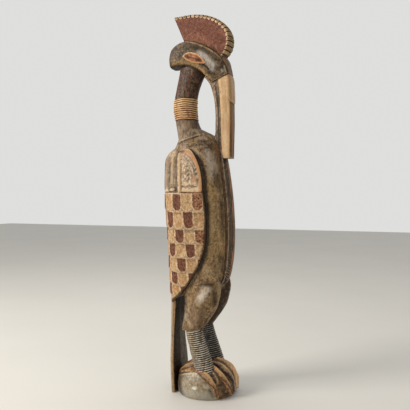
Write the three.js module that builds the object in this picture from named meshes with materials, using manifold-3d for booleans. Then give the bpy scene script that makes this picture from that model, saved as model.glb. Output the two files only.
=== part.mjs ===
import * as THREE from 'three';
import { mergeVertices } from 'three/addons/utils/BufferGeometryUtils.js';
import Module from 'manifold-3d';

// A hornbill carved together with its domed mound from one block of wood.
// Millimetres. +X is the way the beak points, +Y the bird's left, +Z up, and the origin is the
// middle of the mound's flat underside. Each rail is a line in the bird's side view, as [x, z]
// points from its low or rear end to its high or front end, and the two rails of a form have
// the same number of points as its list of half widths.

const WOOD_COLOUR = 0x6e5c42;

const MOUND = { reachX: 90, reachY: 91, segments: 36 };
const MOUND_PROFILE = [
  [0, 0], [0.93, 0], [0.98, 9], [1, 26], [0.98, 44], [0.91, 60], [0.77, 75], [0.55, 87], [0, 95],
];

// Toe ridges of the bird's left foot, from the foot over the dome to just above the floor.
const TOE = { halfWidth: 9, halfHeight: 8, around: 6, steps: 5, clawShare: 0.45 };
const TOE_PATHS = [
  [[22, 56, 84], [40, 68, 66], [52, 70, 38], [60, 64, 9]],
  [[26, 44, 90], [58, 43, 74], [76, 38, 46], [83, 30, 10]],
  [[26, 32, 92], [56, 18, 83], [77, 11, 56], [87, 8, 14]],
  [[-6, 46, 88], [-36, 50, 80], [-52, 54, 68], [-62, 56, 50]],
];

const LEG_SPREAD = 44;
const LEG = {
  front: [[-8, 206], [14, 170], [25, 138], [32, 100], [40, 66]],
  back: [[-54, 206], [-49, 170], [-38, 138], [-29, 100], [-20, 66]],
  halfWidth: [26, 26, 26, 26, 27],
};

const THIGH = {
  front: [
    [2, 195], [8, 204], [23, 223], [36, 242], [48, 262], [58, 284], [64, 308], [64, 334], [44, 366],
  ],
  back: [
    [-62, 193], [-62, 203], [-58, 223], [-55, 240], [-53, 258], [-56, 281], [-60, 304], [-54, 332],
    [-34, 362],
  ],
  halfWidth: [25, 27.5, 30, 31.5, 32.5, 33, 32.5, 29, 20],
};

const TORSO = {
  front: [
    [-20, 284], [32, 304], [63, 338], [77, 400], [80, 475], [78, 550], [71, 625], [60, 692], [54, 738],
    [30, 772], [-20, 798],
  ],
  back: [
    [-76, 284], [-98, 304], [-110, 340], [-116, 400], [-120, 475], [-125, 550], [-127, 625], [-122, 692],
    [-104, 734], [-91, 768], [-90, 798],
  ],
  halfWidth: [40, 58, 70, 75, 77, 78, 77, 72, 60, 44, 33],
  widest: 0.55,
  frontPower: 1.75,
  backPower: 2.4,
};

const KEEL = {
  front: [[56, 326], [69, 344], [80, 394], [85, 470], [83, 550], [76, 620], [66, 690], [58, 730]],
  back: [[30, 330], [40, 350], [50, 392], [55, 470], [53, 550], [46, 620], [36, 690], [30, 730]],
  halfWidth: [18, 21, 23, 24, 24, 23, 21, 18],
  power: 2.3,
};

const WING_THICKNESS = 12;
const WING_GAP = 2.5;
const WING_SKIN = {
  front: [[40, 236], [52, 300], [64, 360], [70, 430], [70, 510], [68, 590], [58, 660], [46, 715], [20, 744]],
  back: [
    [-108, 236], [-114, 300], [-117, 360], [-120, 430], [-126, 510], [-133, 590], [-134, 660],
    [-129, 712], [-98, 744],
  ],
  halfWidth: [56, 70, 78, 82, 83, 84, 81, 72, 50],
  widest: 0.5,
  frontPower: 2.6,
  backPower: 2.3,
};
const WING_TOP = 738;
const WING_LOBE = { centreX: -50, baseZ: 610, reachX: 64, reachZ: 126 };
const WING_FRONT_EDGE = [
  [-107, 258], [-100, 272], [-66, 296], [-36, 327], [-7, 370], [11, 408], [22, 450], [25, 500],
  [23, 556], [17, 604],
];
const BEYOND = 200;

// A fan-shaped board: it narrows and thickens upwards into the rump.
const TAIL = {
  front: [[-83, 0], [-89, 90], [-92, 160], [-90, 250], [-84, 340]],
  back: [[-94, 0], [-100, 90], [-103.5, 160], [-105, 250], [-104, 340]],
  halfWidth: [58, 54, 43, 37, 35],
  power: 12,
};

const NECK = {
  front: [[20, 762], [-16, 792], [-31, 822], [-36, 860], [-34.5, 892], [-26, 925], [-10, 960], [14, 1000]],
  back: [
    [-92, 762], [-97, 794], [-103, 824], [-108.5, 860], [-107, 892], [-100, 925], [-93, 960], [-86, 1000],
  ],
  halfWidth: [44, 37, 34, 33.5, 33.5, 34, 35, 35],
};
// The ring band lies between these places on the neck's rails, counted in rail points.
const RING_BAND = { from: 2.1, to: 4, rings: 10, depth: 2.2 };
const NECK_STOPS_BELOW = [0, 0.7, 1.4];
const NECK_STOPS_ABOVE = [4.6, 5.3, 6.1, 7];

const HEAD = {
  top: [
    [-123, 1032], [-112, 1054], [-84, 1068], [-44, 1070], [-2, 1056], [34, 1032], [61, 1002], [74, 974],
    [78, 950],
  ],
  bottom: [
    [-123, 1000], [-119, 990], [-88, 987], [-46, 982], [-12, 966], [12, 948], [24, 932], [32, 918],
    [40, 905],
  ],
  halfWidth: [24, 32, 37, 39, 38, 35, 31, 27, 22],
  power: 2.5,
};

const BEAK = {
  front: [[76, 962], [79, 945], [83, 905], [85, 860], [85, 800], [84, 750], [83, 706]],
  back: [[34, 946], [44, 932], [50, 895], [54, 860], [56, 800], [57, 750], [58, 706]],
  halfWidth: [22, 23, 23, 23, 22, 22, 21],
  power: 3.4,
};

const UNDER_BEAK = {
  front: [[56, 962], [60, 930], [66, 870], [68, 800], [68, 750], [60, 700]],
  back: [[0, 955], [20, 926], [35, 870], [37, 815], [34, 772], [20, 720]],
  halfWidth: [22, 19, 17.5, 18, 20, 24],
  power: 3,
};

const CREST = {
  centreX: -61, centreZ: 1059, reachX: 144, reachZ: 94, rearAngle: 110, frontAngle: -28,
  root: [[-72, 1064], [-30, 1050], [12, 1028], [48, 1000]],
  halfWidth: [9, 13, 17, 20, 23, 24, 24],
  rimBulge: 15, teeth: 18, stepsPerTooth: 2, notchDepth: 4,
};

const wasm = await Module();
wasm.setup();

const radians = THREE.MathUtils.degToRad;
const points2 = (rows) => rows.map(([x, z]) => new THREE.Vector2(x, z));

// A smooth line through the given points, read by a share from 0 to 1.
function rail(rows) {
  const curve = new THREE.SplineCurve(points2(rows));
  return (share) => curve.getPoint(THREE.MathUtils.clamp(share, 0, 1));
}

// The half widths of a form, read by the same share as its rails.
function widths(values) {
  const line = rail(values.map((value) => [value, 0]));
  return (share) => line(share).x;
}

// A point of the unit disc pushed out towards a square: power 2 keeps the circle.
function squared(along, across, power) {
  const reach = Math.hypot(along, across);
  if (reach === 0) return [0, 0];
  const push = (part) => {
    const share = Math.abs(part / reach);
    return share < 1e-6 ? 0 : Math.sign(part) * share ** (2 / power) * reach;
  };
  return [push(along), push(across)];
}

// A unit cylinder whose every point is put in its place by a function of its share along the
// axis and its place on the disc.
function bend(around, along, place) {
  const geometry = new THREE.CylinderGeometry(1, 1, 1, around, along);
  const position = geometry.getAttribute('position');
  for (let i = 0; i < position.count; i += 1) {
    const spot = place(position.getY(i) + 0.5, position.getX(i), position.getZ(i));
    position.setXYZ(i, spot.x, spot.y, spot.z);
  }
  return geometry;
}

// A form carved between a front rail and a back rail, with its greatest width part of the way
// from the back rail to the front one.
function railForm({ front, back, halfWidth, power = 2, frontPower = power, backPower = power, widest = 0.5 },
  { around, along, sideY = 0 }) {
  const frontRail = Array.isArray(front) ? rail(front) : front;
  const backRail = rail(back);
  const girth = widths(halfWidth);
  return bend(around, along, (share, discX, discZ) => {
    const [forward, across] = squared(discX, discZ, discX > 0 ? frontPower : backPower);
    const run = forward > 0 ? widest + (1 - widest) * forward : widest * (1 + forward);
    const spot = backRail(share).lerp(frontRail(share), run);
    return new THREE.Vector3(spot.x, sideY + across * girth(share), spot.y);
  });
}

function signedVolume(position, index) {
  const corners = [0, 1, 2].map(() => new THREE.Vector3());
  let volume = 0;
  for (let i = 0; i < index.length; i += 3) {
    corners.forEach((corner, k) => corner.fromBufferAttribute(position, index[i + k]));
    volume += corners[0].dot(corners[1].cross(corners[2])) / 6;
  }
  return volume;
}

// A closed geometry as a solid, turned right side out first.
function solid(geometry) {
  const bare = geometry.clone();
  bare.deleteAttribute('normal');
  bare.deleteAttribute('uv');
  const closed = mergeVertices(bare, 1e-3);
  const position = closed.getAttribute('position');
  const index = Uint32Array.from(closed.getIndex().array);
  if (signedVolume(position, index) < 0) {
    for (let i = 0; i < index.length; i += 3) {
      [index[i], index[i + 1]] = [index[i + 1], index[i]];
    }
  }
  return new wasm.Manifold(new wasm.Mesh({ numProp: 3, vertProperties: position.array, triVerts: index }));
}

function mound() {
  const profile = MOUND_PROFILE.map(([share, z]) => new THREE.Vector2(share, z));
  const geometry = new THREE.LatheGeometry(profile, MOUND.segments);
  geometry.rotateX(Math.PI / 2);
  geometry.scale(MOUND.reachX, MOUND.reachY, 1);
  return solid(geometry);
}

// One toe: a ridge that tapers to its claw.
function toe(points, side) {
  const path = new THREE.CatmullRomCurve3(points.map(([x, y, z]) => new THREE.Vector3(x, y * side, z)));
  const upright = new THREE.Vector3(0, 0, 1);
  return solid(bend(TOE.around, TOE.steps, (share, discX, discZ) => {
    const tangent = path.getTangent(share);
    const across = new THREE.Vector3().crossVectors(upright, tangent).normalize();
    const out = new THREE.Vector3().crossVectors(tangent, across);
    const taper = 1 - TOE.clawShare * share;
    return path.getPoint(share)
      .addScaledVector(across, discX * TOE.halfWidth * taper)
      .addScaledVector(out, discZ * TOE.halfHeight * taper);
  }));
}

function limb(side) {
  const sideY = LEG_SPREAD * side;
  return solid(railForm(LEG, { around: 16, along: 4, sideY }))
    .add(solid(railForm(THIGH, { around: 18, along: 10, sideY })));
}

function torso() {
  return solid(railForm(TORSO, { around: 28, along: 14 }))
    .add(solid(railForm(KEEL, { around: 12, along: 10 })));
}

// The outline of a folded wing in side view, run out past the back.
function wingOutline() {
  const { centreX, baseZ, reachX, reachZ } = WING_LOBE;
  const shape = new THREE.Shape();
  shape.moveTo(-BEYOND, WING_FRONT_EDGE[0][1]);
  shape.lineTo(...WING_FRONT_EDGE[0]);
  shape.splineThru(points2(WING_FRONT_EDGE.slice(1)));
  shape.absellipse(centreX, baseZ, reachX, reachZ, 0, Math.PI / 2, false);
  shape.lineTo(-BEYOND, WING_TOP);
  return shape;
}

// The hollow inside the wings' skin: it opens below and stops inside the body, under the shoulders.
function wingHollow({ front, back, halfWidth, ...rest }) {
  return {
    ...rest,
    front: front.slice(0, -2).map(([x, z]) => [x - WING_THICKNESS, z]),
    back: back.slice(0, -2).map(([x, z]) => [x + WING_THICKNESS, z]),
    halfWidth: halfWidth.slice(0, -2).map((half) => half - WING_THICKNESS),
  };
}

function wings() {
  const shell = solid(railForm(WING_SKIN, { around: 28, along: 13 }))
    .subtract(solid(railForm(wingHollow(WING_SKIN), { around: 16, along: 8 })));
  return [1, -1].map((side) => {
    const slab = { depth: BEYOND, bevelEnabled: false, curveSegments: 12 };
    const outline = new THREE.ExtrudeGeometry(wingOutline(), slab);
    outline.rotateX(Math.PI / 2);
    outline.translate(0, side > 0 ? BEYOND + WING_GAP : -WING_GAP, 0);
    return shell.intersect(solid(outline));
  });
}

function tail() {
  return solid(railForm(TAIL, { around: 12, along: 6 }));
}

// The bowed neck with its band of rings, whose sections step out and in.
function neck() {
  const { from, to, rings, depth } = RING_BAND;
  const ringSteps = rings * 2;
  const bandStop = (_, k) => THREE.MathUtils.lerp(from, to, k / ringSteps);
  const bandStops = Array.from({ length: ringSteps + 1 }, bandStop);
  const stops = [...NECK_STOPS_BELOW, ...bandStops, ...NECK_STOPS_ABOVE];
  const firstRing = NECK_STOPS_BELOW.length;
  const frontRail = rail(NECK.front);
  const backRail = rail(NECK.back);
  const girth = widths(NECK.halfWidth);
  return solid(bend(20, stops.length - 1, (share, discX, discZ) => {
    const stop = Math.round(share * (stops.length - 1));
    const place = stops[stop] / (NECK.front.length - 1);
    const inBand = stop >= firstRing && stop <= firstRing + ringSteps;
    const proud = inBand && (stop - firstRing) % 2 === 1 ? depth : 0;
    const front = frontRail(place);
    const back = backRail(place);
    const swell = 1 + (2 * proud) / front.distanceTo(back);
    const spot = back.clone().lerp(front, 0.5 + (discX * swell) / 2);
    return new THREE.Vector3(spot.x, discZ * (girth(place) + proud), spot.y);
  }));
}

function head() {
  const { top, bottom, halfWidth, power } = HEAD;
  return solid(railForm({ front: top, back: bottom, halfWidth, power }, { around: 20, along: 14 }));
}

function beak() {
  return solid(railForm(BEAK, { around: 16, along: 7 }))
    .add(solid(railForm(UNDER_BEAK, { around: 14, along: 7 })));
}

// The fan-shaped crest: a plate between the head and an elliptical rim, whose rounded edge is
// nicked between its teeth.
function crest() {
  const { centreX, centreZ, reachX, reachZ, rearAngle, frontAngle, teeth, stepsPerTooth } = CREST;
  const steps = teeth * stepsPerTooth;
  const root = rail(CREST.root);
  const girth = widths(CREST.halfWidth);
  return solid(bend(12, steps, (share, discX, discZ) => {
    const angle = radians(THREE.MathUtils.lerp(rearAngle, frontAngle, share));
    const way = new THREE.Vector2(Math.cos(angle), Math.sin(angle));
    const rim = new THREE.Vector2(centreX + reachX * way.x, centreZ + reachZ * way.y);
    const shoulder = rim.clone().addScaledVector(way, -CREST.rimBulge);
    const isNotch = Math.round(share * steps) % stepsPerTooth === 1;
    const bulge = CREST.rimBulge - (isNotch ? CREST.notchDepth : 0);
    const [outward, across] = squared(discX, discZ, discX > 0 ? 2.2 : 8);
    const spot = outward > 0
      ? shoulder.addScaledVector(way, bulge * outward)
      : shoulder.lerp(root(share), -outward);
    return new THREE.Vector3(spot.x, across * girth(share), spot.y);
  }));
}

function carving() {
  const forms = [
    mound(),
    tail(),
    torso(),
    neck(),
    head(),
    beak(),
    crest(),
    ...wings(),
    ...[1, -1].map((side) => limb(side)),
    ...[1, -1].flatMap((side) => TOE_PATHS.map((path) => toe(path, side))),
  ];
  return forms.reduce((whole, form) => whole.add(form));
}

function meshOf(whole, name, colour) {
  const { vertProperties, triVerts } = whole.getMesh();
  const geometry = new THREE.BufferGeometry();
  geometry.setAttribute('position', new THREE.BufferAttribute(vertProperties, 3));
  geometry.setIndex(new THREE.BufferAttribute(triVerts, 1));
  geometry.computeVertexNormals();
  const mesh = new THREE.Mesh(
    geometry,
    new THREE.MeshStandardMaterial({ color: colour, roughness: 0.62, metalness: 0 }),
  );
  mesh.name = name;
  return mesh;
}

const hornbill = new THREE.Group();
hornbill.add(meshOf(carving(), 'hornbill_carving', WOOD_COLOUR));

export default hornbill;
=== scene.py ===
import math
import bmesh
import bpy
import numpy as np
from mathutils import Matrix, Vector
from mathutils.bvhtree import BVHTree
from mathutils.kdtree import KDTree


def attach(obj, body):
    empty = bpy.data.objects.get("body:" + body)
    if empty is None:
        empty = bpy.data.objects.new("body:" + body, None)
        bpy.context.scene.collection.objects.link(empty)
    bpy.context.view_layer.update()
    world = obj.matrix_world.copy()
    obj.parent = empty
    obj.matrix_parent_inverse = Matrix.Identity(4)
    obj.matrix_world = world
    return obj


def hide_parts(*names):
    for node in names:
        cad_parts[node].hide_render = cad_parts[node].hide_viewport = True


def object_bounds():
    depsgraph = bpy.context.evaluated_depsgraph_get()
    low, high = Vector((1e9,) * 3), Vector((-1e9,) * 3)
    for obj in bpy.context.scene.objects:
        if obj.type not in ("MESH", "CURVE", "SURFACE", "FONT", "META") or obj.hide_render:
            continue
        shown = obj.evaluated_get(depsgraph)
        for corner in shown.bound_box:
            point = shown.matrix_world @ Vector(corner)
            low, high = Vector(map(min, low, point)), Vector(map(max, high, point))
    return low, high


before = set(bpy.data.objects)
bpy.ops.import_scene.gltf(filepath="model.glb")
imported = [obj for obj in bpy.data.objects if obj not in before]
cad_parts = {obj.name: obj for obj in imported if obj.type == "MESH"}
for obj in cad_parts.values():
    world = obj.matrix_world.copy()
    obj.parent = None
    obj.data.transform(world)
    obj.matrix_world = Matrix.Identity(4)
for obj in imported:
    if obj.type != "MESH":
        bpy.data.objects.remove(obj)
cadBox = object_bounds()
mm = 0.001

# The carving is drawn in millimetres: +X is the way the beak points, +Y its left, +Z up.
# A rail is a line in the bird's side view, given as (x, z) points.


def railAt(points, shares):
    # smooth line through the points, read at shares from 0 to 1
    points = np.array(points, float)
    points = points.reshape(len(points), -1)
    last = len(points) - 1
    place = np.clip(np.atleast_1d(shares), 0, 1) * last
    start = np.minimum(place.astype(int), last - 1)
    w = (place - start)[:, None]
    before, here, there, after = (points[np.clip(start + k, 0, last)] for k in (-1, 0, 1, 2))
    leave = (there - before) / 2
    arrive = (after - here) / 2
    return ((2 * here - 2 * there + leave + arrive) * w ** 3
            + (3 * there - 3 * here - 2 * leave - arrive) * w ** 2 + leave * w + here)


def pushed(part, power):
    # unit circle towards a square: power 2 keeps the circle
    return np.sign(part) * np.abs(part) ** (2 / power)


def shareGrid(steps, *dense):
    # shares from 0 to 1, packed closer inside each (from, to, weight) stretch
    fine = np.linspace(0, 1, 4001)
    weight = np.ones_like(fine)
    for low, high, extra in dense:
        weight = np.where((fine >= low) & (fine <= high), extra, weight)
    run = np.concatenate([[0], np.cumsum(weight[1:])])
    return np.interp(np.linspace(0, run[-1], steps + 1), run, fine)


def loftRows(sizes, around, shares, sideY=0, backRuns=None):
    # rows of points round a form between its front and back rails, starting at its back line
    # and going round by the right side; backRuns are the distances wanted from the back line
    front = railAt(sizes["front"], shares)
    back = railAt(sizes["back"], shares)
    girth = railAt(sizes["halfWidth"], shares)[:, 0]
    power = sizes.get("power", 2)
    frontPower, backPower = (np.broadcast_to(railAt(np.atleast_1d(value), shares)[:, 0] if np.ndim(value) else value,
                                             len(girth)) for value in
                             (sizes.get("frontPower", power), sizes.get("backPower", power)))
    turn = np.pi + np.linspace(0, 2 * np.pi, 721)
    circleX, circleY = np.cos(turn), np.sin(turn)
    widest = sizes.get("widest", 0.5)
    rows, runs = [], []
    for a, b, half, ahead, behind in zip(front, back, girth, frontPower, backPower):
        powers = np.where(circleX > 0, ahead, behind)
        forward, across = pushed(circleX, powers), pushed(circleY, powers)
        run = np.where(forward > 0, widest + (1 - widest) * forward, widest * (1 + forward))
        flat = b + (a - b) * run[:, None]
        loop = np.stack([flat[:, 0], sideY + across * half, flat[:, 1]], 1)
        gone = np.concatenate([[0], np.cumsum(np.linalg.norm(np.diff(loop, axis=0), axis=1))])
        total = gone[-1]
        if backRuns is None:
            want = np.linspace(0, total, around, endpoint=False)
        else:
            half = np.concatenate([backRuns * min(1, 0.49 * total / backRuns[-1]), [total / 2]])
            want = np.concatenate([half, total - half[-2:0:-1]])
        rows.append(np.stack([np.interp(want, gone, loop[:, k]) for k in range(3)], 1))
        runs.append(np.minimum(want, total - want))
    return np.array(rows), np.array(runs)


def rowNormals(rows):
    ways = np.cross(np.roll(rows, -1, 1) - np.roll(rows, 1, 1), np.gradient(rows, axis=0))
    ways /= np.linalg.norm(ways, axis=2, keepdims=True) + 1e-12
    outward = ((rows - rows.mean(1, keepdims=True)) * ways).sum()
    return ways * np.sign(outward)


def lineDistance(x, z, line):
    # how far each place is from a line in the side view, and the share along it of the nearest spot
    best = np.full(x.shape, 1e9)
    along = np.zeros(x.shape)
    count = len(line) - 1
    for k, (a, b) in enumerate(zip(line[:-1], line[1:])):
        step = b - a
        share = np.clip(((x - a[0]) * step[0] + (z - a[1]) * step[1]) / (step @ step + 1e-9), 0, 1)
        gap = np.hypot(x - a[0] - share * step[0], z - a[1] - share * step[1])
        along = np.where(gap < best, (k + share) / count, along)
        best = np.minimum(best, gap)
    return best, along


def insideLine(x, z, line):
    inside = np.zeros(x.shape, bool)
    for a, b in zip(line, np.roll(line, -1, 0)):
        crosses = (a[1] > z) != (b[1] > z)
        reach = a[0] + (z - a[1]) * (b[0] - a[0]) / (b[1] - a[1] + 1e-12)
        inside ^= crosses & (x < reach)
    return inside


fieldNames = ("featherS", "featherT", "ringT", "rimOut", "rimRun", "eye", "pale", "ink", "warm", "grey",
              "shade")


def newFields(rows):
    return {name: np.zeros(rows.shape[:2]) for name in fieldNames}


def strokeOn(rows, fields, points, width, lift=0, ends=0.06, only=1, sides=0.2, hard=2, **paints):
    # a groove or ridge drawn in the side view, cut into both sides, with its paint, which in places is painted
    # highlight and painted shade
    line = railAt(points, np.linspace(0, 1, 12 * len(points)))
    gap, along = lineDistance(rows[..., 0], rows[..., 2], line)
    fade = np.clip(np.minimum(along, 1 - along) / ends, 0, 1) if ends else 1
    ways = rowNormals(rows)
    mark = np.exp(-(gap / width) ** hard) * fade * only
    mark = mark * np.clip(np.abs(ways[..., 1]) * 2 - sides, 0, 1)
    rows += ways * (mark * lift)[..., None]
    for name, value in paints.items():
        fields[name] = np.maximum(fields[name], mark * value)


def closedForm(rows, fields):
    # quads between the rows, and a fan over each end
    count, around = rows.shape[:2]
    spots = np.vstack([rows.reshape(-1, 3), rows[0].mean(0), rows[-1].mean(0)])
    i = np.arange(around)
    nextI = (i + 1) % around
    start = (np.arange(count - 1) * around)[:, None]
    corners = [start + i, start + nextI, start + around + nextI, start + around + i]
    faces = np.stack(corners, 2).reshape(-1, 4).tolist()
    top = (count - 1) * around
    faces += [[len(spots) - 2, n, k] for k, n in zip(i.tolist(), nextI.tolist())]
    faces += [[len(spots) - 1, top + k, top + n] for k, n in zip(i.tolist(), nextI.tolist())]
    values = {name: np.concatenate([f.ravel(), [f[0].mean(), f[-1].mean()]]) for name, f in fields.items()}
    return spots, faces, values


def spotsOf(mesh):
    spots = np.empty(len(mesh.vertices) * 3)
    mesh.vertices.foreach_get("co", spots)
    return spots.reshape(-1, 3)


def normalsOf(mesh):
    ways = np.empty(len(mesh.vertices) * 3)
    mesh.vertex_normals.foreach_get("vector", ways)
    return ways.reshape(-1, 3)


def fieldOf(mesh, name):
    values = np.zeros(len(mesh.vertices))
    mesh.attributes[name].data.foreach_get("value", values)
    return values


def setField(mesh, name, values):
    layer = mesh.attributes.get(name) or mesh.attributes.new(name, "FLOAT", "POINT")
    layer.data.foreach_set("value", np.asarray(values, np.float32))


def formObject(name, spots, faces, values, material):
    # metres from here on, right side out
    mesh = bpy.data.meshes.new(name)
    mesh.from_pydata((spots * mm).tolist(), [], faces)
    mesh.materials.append(material)
    work = bmesh.new()
    work.from_mesh(mesh)
    bmesh.ops.recalc_face_normals(work, faces=work.faces)
    work.to_mesh(mesh)
    work.free()
    for field in fieldNames:
        setField(mesh, field, values.get(field, np.zeros(len(spots))))
    setField(mesh, "kept", np.ones(len(spots)))
    thing = bpy.data.objects.new(name, mesh)
    bpy.context.scene.collection.objects.link(thing)
    return thing


def loftObject(name, rows, fields, material):
    return formObject(name, *closedForm(rows, fields), material)


def evaluated(thing):
    # the object's modifiers become its plain mesh
    view = bpy.context.evaluated_depsgraph_get()
    view.update()
    mesh = bpy.data.meshes.new_from_object(thing.evaluated_get(view))
    thing.modifiers.clear()
    old = thing.data
    thing.data = mesh
    bpy.data.meshes.remove(old)
    return thing


def joined(thing, others, operation="UNION"):
    for other in others:
        step = thing.modifiers.new("join", "BOOLEAN")
        step.operation = operation
        step.solver = "MANIFOLD"
        step.material_mode = "TRANSFER"
        step.object = other
        evaluated(thing)
        bpy.data.objects.remove(other)
    return thing


# A node tree with short names for its usual wires, for Geometry Nodes and materials alike.
class Bench:
    def __init__(self, tree):
        self.tree = tree

    def put(self, kind, sockets=None, **settings):
        node = self.tree.nodes.new(kind)
        for name, value in settings.items():
            setattr(node, name, value)
        for name, value in (sockets or {}).items():
            self.wire(value, node.inputs[name])
        return node

    def wire(self, value, socket):
        if isinstance(value, bpy.types.NodeSocket):
            self.tree.links.new(value, socket)
        elif value is not None:
            socket.default_value = value

    def calc(self, operation, *values):
        node = self.put("ShaderNodeMath", operation=operation)
        for socket, value in zip(node.inputs, values):
            self.wire(value, socket)
        return node.outputs[0]

    def span(self, value, low, high, toLow=0.0, toHigh=1.0):
        node = self.put("ShaderNodeMapRange", clamp=True)
        for place, item in enumerate((value, low, high, toLow, toHigh)):
            self.wire(item, node.inputs[place])
        return node.outputs[0]

    def both(self, *masks):
        whole = masks[0]
        for mask in masks[1:]:
            whole = self.calc("MULTIPLY", whole, mask)
        return whole

    def field(self, name):
        if self.tree.bl_idname == "ShaderNodeTree":
            return self.put("ShaderNodeAttribute", attribute_name=name).outputs["Fac"]
        return self.put("GeometryNodeInputNamedAttribute", {"Name": name}).outputs[0]

    def scaled(self, vector, by):
        node = self.put("ShaderNodeVectorMath", operation="MULTIPLY")
        self.wire(vector, node.inputs[0])
        self.wire(by, node.inputs[1])
        return node.outputs[0]

    def noise(self, vector, scale, detail=3.0, rough=0.55, twist=0.0):
        sockets = {"Vector": vector, "Scale": scale, "Detail": detail, "Roughness": rough, "Distortion": twist}
        return self.put("ShaderNodeTexNoise", sockets).outputs[0]

    def random(self, number):
        return self.put("ShaderNodeTexWhiteNoise", {"W": number}, noise_dimensions="1D").outputs["Value"]

    def mixed(self, share, a, b, way="MIX"):
        node = self.put("ShaderNodeMix", data_type="RGBA", blend_type=way)
        for place, item in ((0, share), (6, a), (7, b)):
            self.wire(item, node.inputs[place])
        return node.outputs[2]


def paint(red, green, blue):
    # a colour judged on the 0 to 255 scale, made linear
    shares = [value / 255 for value in (red, green, blue)]
    return tuple(s / 12.92 if s <= 0.04045 else ((s + 0.055) / 1.055) ** 2.4 for s in shares) + (1.0,)

# Patterns that the carving and its paint both follow.
ringSizes = {"pitch": 6.2, "tilt": 0.22}
neckRingSizes = {"pitch": 6.6}
featherSizes = {
    "width": 33.5,  # mm round the wing
    "start": -2.5,  # mm from the back line to the first column's edge
    "corner": 15.0,  # mm, how round a feather's lower corners are
    "dip": 8.0,  # mm that the rows hang lower towards the front of the wing
    "bottoms": [602, 556, 503, 461, 418, 376, 335, 297, 255],  # the rows' lower ends, top row first
}
notchSizes = {"pitch": 15.2, "zigzag": 4.0, "cream": 6.0}


def ringWave(bench, run, pitch):
    # 0 in the groove between two rings, 1 on a ring's back
    turn = bench.calc("MULTIPLY", bench.calc("DIVIDE", run, pitch), math.pi)
    return bench.calc("POWER", bench.calc("ABSOLUTE", bench.calc("SINE", turn)), 0.6)


def featherCell(bench, s, t):
    # the feather's number, how far from its middle line (-0.5 to 0.5) and the share down it
    place = bench.calc("DIVIDE", bench.calc("SUBTRACT", s, featherSizes["start"]), featherSizes["width"])
    column = bench.calc("FLOOR", place)
    aside = bench.calc("SUBTRACT", bench.calc("FRACT", place), 0.5)
    return column, bench.calc("FLOOR", t), aside, bench.calc("FRACT", t)


def featherEdge(bench, aside, down):
    # distance in mm to the feather's nearest side or lower end, its lower corners rounded off
    corner = featherSizes["corner"]
    side = bench.calc("SUBTRACT", 0.5, bench.calc("ABSOLUTE", aside))
    side = bench.calc("SUBTRACT", corner, bench.calc("MULTIPLY", side, featherSizes["width"]))
    end = bench.calc("SUBTRACT", corner, bench.calc("MULTIPLY", bench.calc("SUBTRACT", 1.0, down), 43.0))
    past = [bench.calc("POWER", bench.calc("MAXIMUM", part, 0.0), 2.0) for part in (side, end)]
    inCorner = bench.calc("SQRT", bench.calc("ADD", *past))
    straight = bench.calc("MINIMUM", bench.calc("MAXIMUM", side, end), 0.0)
    return bench.calc("SUBTRACT", corner, bench.calc("ADD", inCorner, straight))


def notchCell(bench, run):
    # 0 at a notch of the crest's rim, 1 half way to the next
    share = bench.calc("FRACT", bench.calc("DIVIDE", run, notchSizes["pitch"]))
    off = bench.calc("ABSOLUTE", bench.calc("SUBTRACT", share, 0.5))
    return bench.calc("SUBTRACT", 1.0, bench.calc("MULTIPLY", off, 2.0))


# Geometry Nodes: a tree that moves a form's surface along its normal, and paints what it moved.
def reliefTree(name, labels, shape):
    tree = bpy.data.node_groups.new(name, "GeometryNodeTree")
    tree.interface.new_socket("Geometry", in_out="INPUT", socket_type="NodeSocketGeometry")
    tree.interface.new_socket("Geometry", in_out="OUTPUT", socket_type="NodeSocketGeometry")
    for label in labels:
        tree.interface.new_socket(label, in_out="INPUT", socket_type="NodeSocketFloat")
    tree.interface.new_socket("Paint", in_out="INPUT", socket_type="NodeSocketMaterial")
    bench = Bench(tree)
    start = bench.put("NodeGroupInput").outputs
    height, where = shape(bench, start)
    way = bench.put("GeometryNodeInputNormal").outputs[0]
    lift = bench.calc("MULTIPLY", height, mm)
    offset = bench.put("ShaderNodeVectorMath", {"Scale": lift}, operation="SCALE")
    bench.wire(way, offset.inputs[0])
    moved = bench.put("GeometryNodeSetPosition", {"Geometry": start["Geometry"], "Offset": offset.outputs[0]})
    real = bench.put("GeometryNodeRealizeInstances", {"Geometry": moved.outputs[0]})
    coat = {"Geometry": real.outputs[0], "Selection": bench.calc("GREATER_THAN", where, 0.5),
            "Material": start["Paint"]}
    bench.wire(bench.put("GeometryNodeSetMaterial", coat).outputs[0], bench.put("NodeGroupOutput").inputs[0])
    return tree


def ringShape(bench, start):
    run = bench.field("ringT")
    inBand = bench.both(bench.calc("GREATER_THAN", run, start["Band Start"]),
                        bench.calc("LESS_THAN", run, start["Band End"]))
    wave = ringWave(bench, run, start["Ring Pitch"])
    number = bench.calc("FLOOR", bench.calc("DIVIDE", run, start["Ring Pitch"]))
    luck = bench.calc("SUBTRACT", bench.random(bench.calc("ADD", number, start["Seed"])), 0.5)
    lift = bench.calc("MULTIPLY", bench.calc("SUBTRACT", wave, 1.0), start["Ring Depth"])
    uneven = bench.both(luck, wave, start["Unevenness"])
    return bench.calc("MULTIPLY", bench.calc("ADD", lift, uneven), inBand), inBand


def featherShape(bench, start):
    s, t = bench.field("featherS"), bench.field("featherT")
    onRows = bench.both(bench.span(t, -0.02, 0.02), bench.span(t, 7.9, 8.0, 1.0, 0.0))
    column, row, aside, down = featherCell(bench, s, t)
    edge = featherEdge(bench, aside, down)
    rim = bench.span(edge, start["Border Width"], 0.0)
    groove = bench.span(edge, 1.2, 0.0)
    lift = bench.calc("MULTIPLY", rim, start["Border Lift"])
    lift = bench.calc("SUBTRACT", lift, bench.calc("MULTIPLY", groove, start["Groove Depth"]))
    lift = bench.calc("ADD", lift, bench.calc("MULTIPLY", down, start["Tip Lift"]))
    return bench.calc("MULTIPLY", lift, onRows), 1.0


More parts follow.
